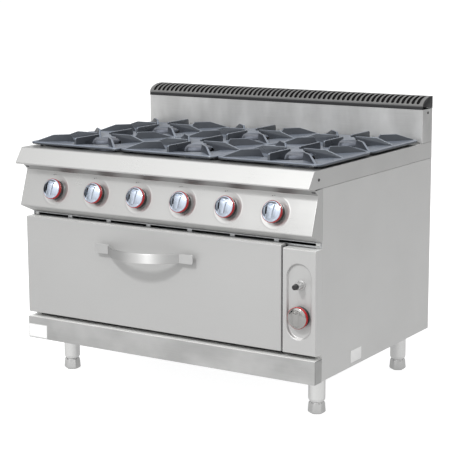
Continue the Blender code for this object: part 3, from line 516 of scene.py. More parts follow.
def put(name, mesh, look, body="root", stands_for=(), place=None, sharp=38):
    """Adds a piece to the scene, sets it on the body that it rides on, and hides the nodes that it stands for.
    """
    obj = bpy.data.objects.new(name, mesh)
    SCENE.collection.objects.link(obj)
    if place is not None:
        obj.matrix_world = place
    if not mesh.materials:
        mesh.materials.append(look)
        mesh.shade_smooth()
        mesh.set_sharp_from_angle(angle=math.radians(sharp))
    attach(obj, body)
    if stands_for:
        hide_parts(*stands_for)
    return obj


def keep_flat(obj):
    """Lets the large flat faces set the shading, so that a rounded edge doesn't bend their reflections."""
    made = obj.modifiers.new("flat_faces", "WEIGHTED_NORMAL")
    made.keep_sharp = True
    return obj


def face_look(obj, look, chosen):
    """Gives the faces whose normal passes the test a material of their own."""
    obj.data.materials.append(look)
    for face in obj.data.polygons:
        if chosen(face.normal):
            face.material_index = len(obj.data.materials) - 1


def bevel(obj, width, segments=3, angle=35):
    """Rounds an object's edges. A CAD node's vertices are welded first, so that its edges join."""
    if "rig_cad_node" in obj:
        weld = obj.modifiers.new("weld", "WELD")
        weld.merge_threshold = 0.00002
    made = obj.modifiers.new("soft_edges", "BEVEL")
    made.width = width
    made.segments = segments
    made.limit_method = "ANGLE"
    made.angle_limit = math.radians(angle)
    made.use_clamp_overlap = True
    made.harden_normals = False
    return obj


def paint(name, look, edge=0.0):
    """Gives a CAD node that stays its material, and rounds its edges."""
    node = NODES[name]
    node.data.materials.clear()
    node.data.materials.append(look)
    if edge:
        bevel(node, edge, 2)
    return node


# ---------------------------------------------------------------- sheet-metal body

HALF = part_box("side_panel_right")[1].x


def make_kept_nodes():
    """The CAD nodes that stay as they are, apart from their materials and softened edges."""
    for side in ("left", "right"):
        paint(f"side_panel_{side}", SIDE_STEEL_AND_BOX_SIDE_LIGHT, 0.0008)
        paint(f"hinge_arm_{side}", ZINC, 0.0004)
    paint("back_panel", ZINC, 0.0006)
    paint("base_panel", ZINC, 0.0006)
    paint("splashback", SPLASH_STEEL, 0.0016)
    paint("vent_strip", ZINC, 0.0004)
    paint("oven_liner", ENAMEL, 0.0008)
    paint("oven_sole_plate", ENAMEL, 0.0006)
    paint("door_inner", ENAMEL, 0.0008)
    paint("door_gasket", GASKET)
    paint("oven_burner", BURNER_METAL)
    paint("gas_manifold", BRASS, 0.0005)
    paint("oven_thermostat_valve", BRASS, 0.0008)
    paint("gas_inlet_pipe", BRASS)


def make_plinth():
    """The strip under the door, with a bright top where it catches the light."""
    low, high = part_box("plinth")
    front, back = low.y, high.y
    outline = fillet(
        [(back, low.z), (back, high.z), (front, high.z), (front, low.z)], [0, 0.0005, 0.0025, 0.0012], 5
    )
    mesh = section_along_x(outline, (low.x, high.x), end_radius=0.0025, end_steps=4)
    plinth = put("plinth_skin", mesh, PLINTH_STEEL, stands_for=["plinth"])
    # Its top faces take the near-white steel, a painted highlight.
    face_look(keep_flat(plinth), PAINTED_TOP_HIGHLIGHT_STEEL, lambda normal: normal.z > 0.9)


def make_hob():
    """Pressed top: rolled apron, three wells with drawn edges, and a skirt."""
    low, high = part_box("hob_top")
    top, bottom, nose, back = high.z, low.z, low.y, high.y
    front = nose + 0.036
    lip = nose + 0.040
    section = [
        (back, bottom),
        (back, top),
        (front, top),
        (nose, 0.7985),
        (nose + 0.0012, 0.7935),
        (lip, 0.7925),
        (lip, bottom),
    ]
    section = fillet(section, [0, 0.002, 0.006, 0.004, 0.003, 0.002, 0], 6)
    mesh = section_along_x(section, (low.x, high.x), end_radius=0.0016)
    hob = put("hob_skin", mesh, HOB_STEEL, stands_for=["hob_top"], sharp=30)
    floor, brim, foot = 0.820, 0.004, 0.008
    wells = bmesh.new()
    for x in sorted({center[0] for center in burner_centers()}):
        rings = []
        plan_low, plan_high = (x - 0.163, -0.3293), (x + 0.163, 0.3600)
        for fall, reach in quarter(4):
            rings.append(well_ring(plan_low, plan_high, brim * reach, top - brim * fall))
        rings.insert(0, well_ring(plan_low, plan_high, brim, top + 0.01))
        for fall, reach in quarter(4):
            rings.append(well_ring(plan_low, plan_high, -foot * fall, floor + foot * reach))
        add_loft(wells, rings)
    cutter = bpy.data.objects.new("wells", finished(wells, "wells"))
    SCENE.collection.objects.link(cutter)
    carve(hob, cutter)
    face_look(keep_flat(hob), SKIRT_STEEL, lambda normal: abs(normal.x) > 0.9)


def well_ring(low, high, grow, height):
    """The outline of a burner well, grown by a distance."""
    outline = rounded_box((low[0] - grow, low[1] - grow), (high[0] + grow, high[1] + grow), 0.030 + grow)
    return [(x, y, height) for x, y in outline]


def carve(obj, cutter):
    """Cuts one shape from another and keeps the result as the object's own mesh."""
    cut = obj.modifiers.new("carve", "BOOLEAN")
    cut.operation = "DIFFERENCE"
    cut.solver = "EXACT"
    cut.object = cutter
    bpy.context.view_layer.update()
    graph = bpy.context.evaluated_depsgraph_get()
    mesh = bpy.data.meshes.new_from_object(obj.evaluated_get(graph))
    obj.modifiers.clear()
    obj.data = mesh
    mesh.set_sharp_from_angle(angle=math.radians(30))
    bpy.data.objects.remove(cutter, do_unlink=True)


def make_vent_cap():
    """Curved cap with a row of round-ended slots, over a dark band at its foot."""
    low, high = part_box("vent_cap")
    front, back, top = low.y, high.y, high.z
    band = 0.983
    outline = [(back, low.z), (back, top)]
    outline += [
        (front + 0.072 * (1 - math.cos(turn)), band + (top - band) * math.sin(turn))
        for turn in (math.pi / 2 * (1 - step / 24) for step in range(25))
    ]
    lengths = [0.0]
    for first, second in zip(outline, outline[1:]):
        lengths.append(lengths[-1] + math.dist(first, second))

    def at(distance):
        """The point of the section this far along it from the back."""
        for index in range(1, len(lengths)):
            if distance <= lengths[index] + 1e-9:
                span = lengths[index] - lengths[index - 1]
                share = (distance - lengths[index - 1]) / span
                first, second = outline[index - 1], outline[index]
                return tuple(a + (b - a) * share for a, b in zip(first, second))
        return outline[-1]

    radius = SLOT_WIDTH / 2
    slot_start = lengths[2] + 0.004
    slot_end = lengths[-1] - 0.0085
    levels = [(value, 0.0) for value in (0.0, lengths[1], slot_start - 0.002)]
    levels += [(slot_start + radius * fall, radius * (1 - reach)) for fall, reach in quarter(5)]
    straight = slot_end - slot_start - 2 * radius
    levels += [(slot_start + radius + straight * step / 14, radius) for step in range(1, 14)]
    levels += [(slot_end - radius * reach, radius * (1 - fall)) for fall, reach in quarter(5)]
    levels += [(slot_end + 0.003, 0.0), (lengths[-1], 0.0)]

    bm = bmesh.new()
    made = {}

    def vertex(x, level):
        key = (round(x, 6), round(level, 6))
        if key not in made:
            y, z = at(level)
            made[key] = bm.verts.new((x, y, z))
        return made[key]

    first_x = -SLOT_COUNT * SLOT_PITCH / 2
    strips = [(-HALF, first_x, False), (-first_x, HALF, False)]
    edges = [first_x + index * SLOT_PITCH for index in range(SLOT_COUNT + 1)]
    strips += [(left, right, True) for left, right in zip(edges, edges[1:])]
    for left, right, slotted in strips:
        middle = (left + right) / 2
        for (level, half), (after, half_after) in zip(levels, levels[1:]):
            if not slotted:
                corners = [(left, level), (right, level), (right, after), (left, after)]
                bm.faces.new([vertex(*corner) for corner in corners])
                continue
            for outside, sign in ((left, -1), (right, 1)):
                corners = [
                    (outside, level),
                    (middle + sign * half, level),
                    (middle + sign * half_after, after),
                    (outside, after),
                ]
                bm.faces.new([vertex(*corner) for corner in corners])
    for x in (-HALF, HALF):
        bm.faces.new([vertex(x, level) for level, _ in levels])
    mesh = finished(bm, "cap")
    cap = put("vent_cap_skin", mesh, VENT_PAINT, stands_for=["vent_cap"], sharp=50)
    face_look(cap, VENT_BAND, lambda normal: abs(normal.x) > 0.9)
    wall = cap.modifiers.new("wall", "SOLIDIFY")
    wall.thickness = 0.0016
    wall.offset = -1

    section = fillet(
        [(front + 0.004, low.z), (front + 0.004, band), (front, band + 0.0006), (front, low.z)], 0.0006, 3
    )
    mesh = section_along_x(section, (-HALF, HALF), end_radius=0.0008)
    put("vent_band", mesh, VENT_BAND, stands_for=["vent_cap"])
    # A near-black sheet just inside the cap, painted shade where the cap's inside is dark.
    shade_sheet = [(back - 0.006, low.z + 0.004), (back - 0.006, top - 0.006)]
    shade_sheet += [
        (front + 0.006 + 0.066 * (1 - math.cos(turn)), band + (top - band - 0.006) * math.sin(turn))
        for turn in (math.pi / 2 * (1 - step / 8) for step in range(9))
    ]
    shade_sheet.append((front + 0.006, low.z + 0.004))
    mesh = section_along_x(shade_sheet, (-HALF + 0.006, HALF - 0.006))
    put("vent_shade", mesh, VENT_PAINTED_SHADE, stands_for=["vent_cap"])


# ---------------------------------------------------------------- control panel


PANEL = {}


def panel_measures():
    """The sloping face, from the CAD: its top edge, its fold, and a knob's place on it."""
    PANEL["top"] = Vector((BACK - 0.857, 0.7675))
    PANEL["fold"] = Vector((BACK - 0.899, 0.641))
    down = PANEL["fold"] - PANEL["top"]
    up = Vector((0, -down.x, -down.y)).normalized()
    across = Vector((1, 0, 0))
    out = across.cross(up)
    PANEL["middle"] = Vector((0, *(PANEL["top"] + down / 2)))
    PANEL["turn"] = Matrix((across, up, out)).transposed().to_4x4()
    PANEL["knobs"] = []
    for name in KNOB_NAMES:
        low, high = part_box(name)
        PANEL["knobs"].append((low.x + high.x) / 2)


def on_panel(x, up=0.0, out=0.0):
    """A frame on the panel: X along the front, Y up the slope and Z out of it."""
    turn = PANEL["turn"]
    spot = PANEL["middle"] + Vector((x, 0, 0)) + turn.to_3x3() @ Vector((0, up, out))
    return Matrix.Translation(spot) @ turn


def smooth_step(value):
    """0 below 0, 1 above 1, and a smooth rise between."""
    value = max(0.0, min(1.0, value))
    return value * value * (3 - 2 * value)


def make_control_panel():
    """Folded panel with six drawn dishes and the printed marks over them, and a dark tile at each end of its
    band, painted shade standing in for a slot.
    """
    low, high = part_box("control_panel")
    rear, roof = high.y, high.z
    band_top = (BACK - 0.878, roof)
    corners = [(rear, low.z), (rear, roof), band_top, tuple(PANEL["top"]), tuple(PANEL["fold"])]
    rounded = fillet(corners, [0, 0, 0.001, 0.0035, 0.004], 6)
    section, face_rows = [], set()
    for index, point in enumerate(rounded):
        section.append(point)
        after = rounded[(index + 1) % len(rounded)]
        span = math.dist(point, after)
        if point[1] > 0.70 and after[1] < 0.70:
            steps = round(span / 0.0017)
            for step in range(1, steps):
                face_rows.add(len(section))
                share = step / steps
                section.append(tuple(a + (b - a) * share for a, b in zip(point, after)))
    middle = PANEL["middle"]

    def dish(x, row):
        if row not in face_rows:
            return 0.0
        y, z = section[row]
        along = math.dist((y, z), (middle.y, middle.z))
        reach = min(math.hypot(x - knob, along) for knob in PANEL["knobs"])
        lip = 0.0003 * smooth_step(1 - abs(reach - DISH_R - 0.0015) / 0.0030)
        return DISH_DEPTH * smooth_step((DISH_R - reach) / 0.0150) - lip

    places = []
    for knob in PANEL["knobs"]:
        places += [knob + 0.0580 * (step / 33 - 1) for step in range(67)]
        places.append(knob + 0.074)
    places = [x for x in places if abs(x) < HALF - 0.004]
    mesh = section_along_x(section, (low.x, high.x), places, 0.0022, dish, 4)
    panel = put(
        "control_panel_skin", mesh, PANEL_STEEL, stands_for=["control_panel"], sharp=30
    )
    face_look(keep_flat(panel), CHIN_STEEL, lambda normal: normal.z < -0.85)
    face_look(panel, BAND_STEEL, lambda normal: -0.85 < normal.z < -0.6)
    # Dark tiles at the band's ends: painted shade where open slots would be dark inside.
    slot = tile((-0.0070, -0.0034), (0.0070, 0.0034), 0.0015, 4, -0.0004, 0.0003, 0.0001, "end_slot_painted_shade")
    for side, name in ((-1, "left"), (1, "right")):
        y = BACK - 0.868
        place = facing_front(side * (HALF - 0.012), y, 0.7784)
        tilt = Matrix.Rotation(math.radians(45), 4, "X")
        put(f"band_slot_painted_shade_{name}", slot, DARK_PRINT_AND_SLOT_SHADE, place=place @ tilt)
    dot = turned([(0, 0), (0.0016, 0), (0.0016, 0.00025), (0.0014, 0.0003), (0, 0.0003)], 20, "print_dot")
    dash = tile((-0.0028, -0.0006), (0.0028, 0.0006), 0.0005, 3, 0, 0.0003, 0.0001, "print_dash")
    for number, knob in enumerate(PANEL["knobs"], start=1):
        put(f"burner_mark_{number}_dot", dot, DARK_PRINT_AND_SLOT_SHADE, place=on_panel(knob - 0.020, 0.0545, -0.00003))
        put(f"burner_mark_{number}_dash", dash, DARK_PRINT_AND_SLOT_SHADE, place=on_panel(knob - 0.0125, 0.0562, -0.00003))


# ---------------------------------------------------------------- knobs


def knob_cap_mesh():
    """Chrome cap: a tapered, ribbed grip across a face that falls away on each side of it."""
    rings, steps = 60, 144
    rim = 0.0328

    def height(x, y):
        reach = math.hypot(x, y)
        half = 0.0092 + 0.0034 * smooth_step((y + 0.022) / 0.044)
        beside = max(0.0, abs(x) - half)
        dome = 0.0360 - 0.47 * min(beside, 0.009) - 0.16 * max(0.0, beside - 0.009) - 6.0 * y**2
        dome += (0.0290 - dome) * smooth_step((reach - 0.0285) / 0.0040)
        crown = 0.0394 - 0.0010 * (x / half) ** 2 - 0.0018 * (y / 0.026) ** 2
        crown += 0.00022 * math.cos(2 * math.pi * x / 0.0044) * smooth_step((0.015 - y) / 0.006)
        chevron = y - 0.0155 - 0.35 * abs(x)
        crown -= 0.0030 * smooth_step(chevron / 0.0012) * smooth_step((0.0070 - chevron) / 0.0042)
        share = smooth_step((half - abs(x)) / 0.0022 + 0.6) * smooth_step((0.0290 - reach) / 0.0045)
        return dome + (crown - dome) * share

    rows = []
    for ring in range(rings + 1):
        radius = rim * (ring / rings) ** 0.95 + 1e-7
        rows.append([(x, y, height(x, y)) for x, y, _ in circle(radius, 0, steps)])
    for radius, level in (
        (0.0338, 0.0284), (0.0346, 0.0276), (0.0350, 0.0268), (0.0350, 0.0262), (0.0, 0.0262)
    ):
        rows.append(circle(max(radius, 1e-7), level, steps))
    return loft(rows, name="knob_cap")


def knob_ring_mesh():
    """The red ring between a knob's cap and its base."""
    profile = [(0.0, 0.0156), (0.0335, 0.0156)]
    profile += [(0.0352 + r, z) for r, z in arc((0, 0.0168), 0.0012, -90, 0, 5)]
    profile += [(0.0365, 0.0225), (0.0364, 0.0254), (0.0358, 0.0260), (0.0, 0.0260)]
    return turned(profile, 96, "knob_ring")


def knob_base_mesh():
    profile = [
        (0.0, 0.0005), (0.0335, 0.0005), (0.0345, 0.0015), (0.0345, 0.0148), (0.0338, 0.0158), (0.0, 0.0158)
    ]
    return turned(profile, 80, "knob_base")


def make_knobs():
    cap, ring, base = knob_cap_mesh(), knob_ring_mesh(), knob_base_mesh()
    caps = {"oven_knob": (cap.copy(), WARM_CHROME)}
    places = [(name, on_panel(x, 0, -DISH_DEPTH)) for name, x in zip(KNOB_NAMES, PANEL["knobs"])]
    low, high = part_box("oven_knob")
    spot = Vector(((low.x + high.x) / 2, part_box("control_box")[0].y + RECESS, (low.z + high.z) / 2))
    places.append(("oven_knob", Matrix.Translation(spot) @ Matrix.Rotation(math.pi / 2, 4, "X")))
    for name, place in places:
        mesh, look = caps.get(name, (cap, CHROME))
        put(f"{name}_cap", mesh, look, name, [name], place)
        put(f"{name}_ring", ring, RED, name, [name], place)
        put(f"{name}_base", base, PLASTIC, name, [name], place)


# ---------------------------------------------------------------- service box


def spread_to_box(points, bone_low, bone_high, low, high):
    """Each point pushed out to a rectangle, straight away from the bone at the middle of its outline."""
    spread = []
    for x, z in points:
        center = Vector((min(max(x, bone_low[0]), bone_high[0]), min(max(z, bone_low[1]), bone_high[1])))
        along = Vector((x, z)) - center
        reach = []
        if abs(along.x) > 1e-9:
            reach.append(((high[0] if along.x > 0 else low[0]) - center.x) / along.x)
        if abs(along.y) > 1e-9:
            reach.append(((high[1] if along.y > 0 else low[1]) - center.y) / along.y)
        spread.append(center + along * min(reach))
    for corner in ((low[0], low[1]), (low[0], high[1]), (high[0], low[1]), (high[0], high[1])):
        nearest = min(range(len(spread)), key=lambda index: (spread[index] - Vector(corner)).length)
        spread[nearest] = Vector(corner)
    return [tuple(point) for point in spread]


def make_control_box():
    """Box with a pressed obround recess. Its brim and foot are the radii at the recess's edge and floor."""
    low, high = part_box("control_box")
    front, back = low.y, high.y
    plan = obround(RECESS_MIDDLE, RECESS_WIDTH, RECESS_HEIGHT, 24)
    bone = RECESS_HEIGHT / 2 - RECESS_WIDTH / 2
    bone_low = (RECESS_MIDDLE[0], RECESS_MIDDLE[1] - bone)
    bone_high = (RECESS_MIDDLE[0], RECESS_MIDDLE[1] + bone)
    rings = []

    def outer(shrink, y):
        box_low = (low.x + shrink, low.z + shrink)
        box_high = (high.x - shrink, high.z - shrink)
        ring = spread_to_box(plan, bone_low, bone_high, box_low, box_high)
        rings.append([(x, y, z) for x, z in ring])

    radius, brim, foot = 0.003, 0.0045, 0.0055
    outer(0.0, back)
    for fall, reach in quarter(6):
        outer(radius * fall, front + radius * reach)
    for fall, reach in quarter(6):
        rings.append([(x, front + brim * fall, z) for x, z in inset(plan, -brim * reach)])
    for fall, reach in quarter(6):
        rings.append([(x, front + RECESS - foot * reach, z) for x, z in inset(plan, foot * fall)])
    box = put(
        "control_box_skin", loft(rings), BOX_STEEL, stands_for=["control_box"], sharp=30
    )
    # The top faces take the near-white steel, a painted highlight.
    face_look(keep_flat(box), PAINTED_TOP_HIGHLIGHT_STEEL, lambda normal: normal.z > 0.9)
    # The right-hand faces take the lighter side steel: painted light on that side of the box.
    face_look(box, SIDE_STEEL_AND_BOX_SIDE_LIGHT, lambda normal: normal.x > 0.9)


def facing_front(x, y, z):
    """A frame at this place whose Z points out of the range's front."""
    return Matrix.Translation((x, y, z)) @ Matrix.Rotation(math.pi / 2, 4, "X")


def make_igniter():
    """Threaded collar in the recess, and the push button that moves in its bore."""
    low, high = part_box("igniter_housing")
    floor = high.y
    place = facing_front((low.x + high.x) / 2, floor, (low.z + high.z) / 2)
    profile = [(0.0, 0.0003), (0.0150, 0.0003), (0.0155, 0.0012), (0.0150, 0.0035), (0.0128, 0.0042)]
    end = floor - low.y
    for index in range(11):
        base = 0.0055 + index * (end - 0.0075) / 11
        profile += [(0.0124, base), (0.0118, base + 0.0012)]
    profile += [(0.0124, end - 0.0014), (0.0118, end - 0.0002), (0.0100, end), (0.0096, end - 0.001)]
    profile += [(0.0096, 0.0048), (0.0, 0.0048)]
    collar = turned(profile, 64)
    put("igniter_collar", collar, POLISHED, "root", ["igniter_housing"], place)
    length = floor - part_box("igniter_button")[0].y
    button = [(0.0, 0.0140), (0.0088, 0.0140), (0.0088, length - 0.0030)]
    button += [(0.0063 + r, z) for r, z in arc((0, length - 0.0026), 0.0025, 0, 90, 5)]
    button += [(0.0045, length - 0.0004), (0.0, length - 0.0009)]
    tip = turned(button, 48)
    put("igniter_tip", tip, PLASTIC, "igniter_button", ["igniter_button"], place)


# ---------------------------------------------------------------- door


def make_door():
    """Pan of the door with a rolled edge, and two notches for the hinge arms in its lower edge."""
    low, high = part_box("door_outer")
    front, back = low.y, high.y
    radius, lip = 0.004, 0.0015
    rings = []

    def outline(shrink, y):
        ring = rounded_box(
            (low.x + shrink, low.z + shrink), (high.x - shrink, high.z - shrink), 0.0045 - 0.3 * shrink
        )
        rings.append([(x, y, z) for x, z in ring])

    for fall, reach in quarter(7):
        outline(radius * reach, front + radius * fall)
    outline(0.0, back - 0.0006)
    outline(0.0004, back)
    outline(lip, back)
    outline(lip, front + 0.006)
    mesh = loft(rings)
    door = put("door_skin", mesh, BODY_FRONT, "door", ["door_outer"], sharp=30)
    cutters = bmesh.new()
    for x in (-0.480, 0.350):
        made = bmesh.ops.create_cube(cutters, size=1.0)["verts"]
        bmesh.ops.scale(cutters, vec=(0.013, 0.040, 0.060), verts=made)
        bmesh.ops.translate(cutters, vec=(x, front + 0.028, low.z - 0.0065), verts=made)
    cutter = bpy.data.objects.new("notches", finished(cutters, "notches"))
    SCENE.collection.objects.link(cutter)
    carve(door, cutter)
    # The door's top faces take the near-white steel, a painted highlight.
    face_look(keep_flat(door), PAINTED_TOP_HIGHLIGHT_STEEL, lambda normal: normal.z > 0.9)


def make_handle():
    """Strip bowed out in plan with a flat tab and a post at each end."""
    low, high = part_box("door_handle")
    door_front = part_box("door_outer")[0].y
    middle = (low.x + high.x) / 2
    half, height = (high.x - low.x) / 2, high.z - low.z
    thick, standoff = 0.003, 0.020
    bow = door_front - low.y - standoff - thick
    radius = (HANDLE_END**2 + bow**2) / (2 * bow)
    sweep = math.degrees(math.asin(HANDLE_END / radius))
    base = standoff + thick / 2
    path = [(-half + value, base) for value in (0.0, 0.0003, 0.0010, 0.0022, 0.0040, 0.0060)]
    path += [(-HANDLE_END - 0.004, base), (-HANDLE_END - 0.001, base)]
    path += [(x, y + base) for x, y in arc((0, bow - radius), radius, 90 + sweep, 90 - sweep, 48)]
    path += [(-x, y) for x, y in reversed(path[:8])]
    rings = []
    corner = 0.0012
    profile = rounded_box((-thick / 2, -height / 2), (thick / 2, height / 2), corner, 4)
    for index, point in enumerate(path):
        before = Vector(path[max(index - 1, 0)])
        after = Vector(path[min(index + 1, len(path) - 1)])
        along = (after - before).normalized()
        side = Vector((-along.y, along.x))
        inside = min(half - abs(point[0]), 0.006) / 0.006
        trim = 0.006 * (1 - math.sqrt(max(0.0, 1 - (1 - inside) ** 2)))
        ring = []
        for across, up in profile:
            spot = Vector(point) + side * across
            up -= math.copysign(min(trim, abs(up)), up)
            ring.append((middle + spot.x, door_front - spot.y, (low.z + high.z) / 2 + up))
        rings.append(ring)
    strip = loft(rings)
    keep_flat(put("handle_strip", strip, HANDLE_STEEL, "door", ["door_handle"], sharp=35))
    post = turned(
        [
            (0.0, 0.0003), (0.0105, 0.0003), (0.0110, 0.0012), (0.0092, 0.0030), (0.0080, 0.0050),
            (0.0080, 0.0206), (0.0, 0.0206),
        ],
        40,
        "handle_post",
    )
    for side, name in ((-1, "left"), (1, "right")):
        x = middle + side * (HANDLE_END + half) / 2
        place = facing_front(x, door_front, (low.z + high.z) / 2)
        put(f"handle_post_{name}", post, POLISHED, "door", ["door_handle"], place)


# ---------------------------------------------------------------- oven


def make_rack():
    """A rod frame with thinner rods across it."""
    low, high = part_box("oven_rack")
    wire, rod = 0.004, 0.0025
    level = low.z + wire
    bm = bmesh.new()
    plan = rounded_box((low.x + wire, low.y + wire), (high.x - wire, high.y - wire), 0.018, 8)
    add_loft(bm, tube_along([(x, y, level) for x, y in plan], wire, 16, True), (False, False))
    rods = 13
    for index in range(rods):
        x = low.x + (high.x - low.x) * (index + 1) / (rods + 1)
        line = [
            (x, low.y + wire, level + 0.001), (x, (low.y + high.y) / 2, level + 0.001),
            (x, high.y - wire, level + 0.001)
        ]
        add_loft(bm, tube_along(line, rod, 12))
    put("rack_wires", finished(bm, "rack"), CHROME, "oven_rack", ["oven_rack"])


# ---------------------------------------------------------------- burners and pan supports


def burner_centers():
    """The middle of each burner in plan."""
    centers = []
    for number in range(1, 7):
        low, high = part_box(f"burner_cap_{number}")
        centers.append(((low.x + high.x) / 2, (low.y + high.y) / 2))
    return centers


def make_burners():
    """Cast body with a ring of gas ports, and a loose cap with a pressed centre."""
    floor = 0.8203
    body_profile = [(0.0, 0.8000), (0.022, 0.8000), (0.030, floor), (0.048, floor), (0.0484, floor + 0.0020)]
    body_profile += [(0.0375, floor + 0.0045), (0.0360, floor + 0.0070), (0.0360, 0.8315), (0.0448, 0.8372)]
    body_profile += [(0.0460, 0.8390), (0.0460, 0.8472), (0.0448, 0.8500), (0.0400, 0.8520), (0.0, 0.8520)]
    rings = []
    steps = 144
    for radius, height in body_profile:
        ring = circle(max(radius, 1e-7), height, steps)
        if 0.838 < height < 0.8475:
            ring = [
                (x * (0.972 if index % 4 < 1 else 1.0), y * (0.972 if index % 4 < 1 else 1.0), z)
                for index, (x, y, z) in enumerate(ring)
            ]
        rings.append(ring)
    body = loft(rings, name="burner_body")
    cap_profile = [(0.0, 0.8523), (0.0500, 0.8523), (0.0530, 0.8530), (0.0545, 0.8548), (0.0545, 0.8595)]
    cap_profile += [(0.0538, 0.8628), (0.0515, 0.8658), (0.0480, 0.8674), (0.0370, 0.8685), (0.0335, 0.8686)]
    cap_profile += [(0.0310, 0.8676), (0.0120, 0.8672), (0.0, 0.8674)]
    cap = turned(cap_profile, 96, "burner_cap")
    for number, (x, y) in enumerate(burner_centers(), start=1):
        place = Matrix.Translation((x, y, 0))
        put(
            f"burner_ports_{number}", body, BURNER_METAL,
            stands_for=[f"burner_body_{number}"], place=place,
        )
        put(
            f"burner_lid_{number}", cap, BURNER_METAL,
            stands_for=[f"burner_cap_{number}"], place=place,
        )


def fin_shell(bm, outline, angle):
    """One cast fin, thicker at its root than along its top, with rounded edges."""
    turn = math.radians(angle)
    for_ring = slab(outline, -0.0040, 0.0040, 0.0013, 3)
    rings = []
    for ring in for_ring:
        points = []
        for out, up, across in ring:
            across *= 1.18 - 0.30 * smooth_step((up - 0.858) / (FIN_TOP - 0.858))
            x = out * math.cos(turn) - across * math.sin(turn)
            y = out * math.sin(turn) + across * math.cos(turn)
            points.append((x, y, up))
        rings.append(points)
    add_loft(bm, rings)


def pan_support_mesh(half_x, half_y, bottom, top):
    """A cast grid: plate with a rounded rim and a web that dips to the opening, eight fins, four feet."""
    steps = 128
    circle_plan = [(x, y) for x, y, _ in circle(1.0, 0, steps, math.pi / 4)]

    def square(shrink, height):
        corner = 0.024 - shrink * 0.5
        ring = []
        for x, y in circle_plan:
            reach = min((half_x - shrink) / max(abs(x), 1e-9), (half_y - shrink) / max(abs(y), 1e-9))
            x, y = x * reach, y * reach
            over_x, over_y = abs(x) - (half_x - shrink - corner), abs(y) - (half_y - shrink - corner)
            if over_x > 0 and over_y > 0:
                length = math.hypot(over_x, over_y)
                x = math.copysign(half_x - shrink - corner + over_x / length * corner, x)
                y = math.copysign(half_y - shrink - corner + over_y / length * corner, y)
            ring.append((x, y, height))
        return ring

    def round_ring(radius, height):
        return [(x * radius, y * radius, height) for x, y in circle_plan]

    def between(ring, other, share, height):
        return [
            (a[0] + (b[0] - a[0]) * share, a[1] + (b[1] - a[1]) * share, height) for a, b in zip(ring, other)
        ]

    rim, hub = square(0.014, 0), round_ring(0.150, 0)
    rings = [square(0.004, bottom), square(0.001, bottom + 0.0008), square(0.0, bottom + 0.0026)]
    rings += [
        square(0.0, top - 0.0030), square(0.0006, top - 0.0014), square(0.0018, top - 0.0004),
        square(0.0036, top)
    ]
    rings += [square(0.0100, top), square(0.0130, top - 0.0004)]
    for share, drop in ((0.25, 0.0012), (0.6, 0.0020), (1.0, 0.0026)):
        rings.append(between(rim, hub, share, top - drop))
    for radius, height in (
        (0.138, 0.8628), (0.120, 0.8612), (0.104, 0.8592), (0.093, 0.8570), (0.0875, 0.8552)
    ):
        rings.append(round_ring(radius, height))
    for radius, height in (
        (SUPPORT_OPENING_R + 0.0006, 0.8538), (SUPPORT_OPENING_R, 0.8522),
        (SUPPORT_OPENING_R + 0.0008, 0.8510)
    ):
        rings.append(round_ring(radius, height))
    for radius, height in ((0.0885, 0.8508), (0.104, 0.8530), (0.120, 0.8556), (0.150, bottom + 0.0012)):
        rings.append(round_ring(radius, height))
    rings += [between(hub, rim, 0.5, bottom + 0.0006), square(0.014, bottom)]
    rings.append(rings[0])
    bm = bmesh.new()
    add_loft(bm, rings, (False, False))

    under = [
        (0.0800, 0.8530), (0.0785, 0.8580), (0.0750, 0.8645), (0.0690, 0.8705), (0.0600, 0.8752),
        (0.0500, 0.8778)
    ]
    tip = [(0.0345, 0.8792), (0.0332, 0.8820), (0.0335, 0.8862), (0.0360, FIN_TOP)]
    upright = tip + [(0.1670, FIN_TOP), (0.1715, 0.8840), (0.1722, 0.8620), (0.1735, 0.8585)] + under
    sloping = tip + [(0.1190, FIN_TOP), (0.1230, 0.8873), (0.1815, 0.8672), (0.1870, 0.8640), (0.1850, 0.8590)]
    sloping += under
    corner = [(0.1035, 0.8520), (0.1080, 0.8610), (0.1200, 0.8845), (0.1240, FIN_TOP)]
    corner += [
        (0.1820, FIN_TOP), (0.1860, 0.8876), (0.2480, 0.8674), (0.2525, 0.8640), (0.2500, 0.8590),
        (0.1150, 0.8535)
    ]
    for angle in (90, 270):
        fin_shell(bm, fillet(upright, 0.002, 2), angle)
    for angle in (0, 180):
        fin_shell(bm, fillet(sloping, 0.002, 2), angle)
    for angle in (45, 135, 225, 315):
        fin_shell(bm, fillet(corner, 0.002, 2), angle)
    for side_x in (-1, 1):
        for side_y in (-1, 1):
            section = ((0.0046, 0.8503), (0.0056, 0.8512), (0.0064, 0.8590))
            rings = [circle(radius, height, 20) for radius, height in section]
            shift = (side_x * (half_x - 0.032), side_y * (half_y - 0.032))
            add_loft(bm, [[(x + shift[0], y + shift[1], z) for x, y, z in ring] for ring in rings])
    return finished(bm, "pan_support")


def make_pan_supports():
    """One shared grid, turned half round at every other burner."""
    low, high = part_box("pan_support_1")
    half_x, half_y = (high.x - low.x) / 2, (high.y - low.y) / 2
    mesh = pan_support_mesh(half_x, half_y, 0.857, 0.866)
    for number, (x, y) in enumerate(burner_centers(), start=1):
        name = f"pan_support_{number}"
        place = Matrix.Translation((x, y, 0)) @ Matrix.Rotation(math.pi * (number % 2), 4, "Z")
        grid = put(f"grid_{number}", mesh, CAST_IRON, name, [name], place, sharp=45)
    # Faces that look up take the lighter copy, painted sheen on the grid's tops.
    face_look(grid, IRON_PAINTED_TOP_SHEEN, lambda normal: normal.z > 0.3)


# ---------------------------------------------------------------- legs


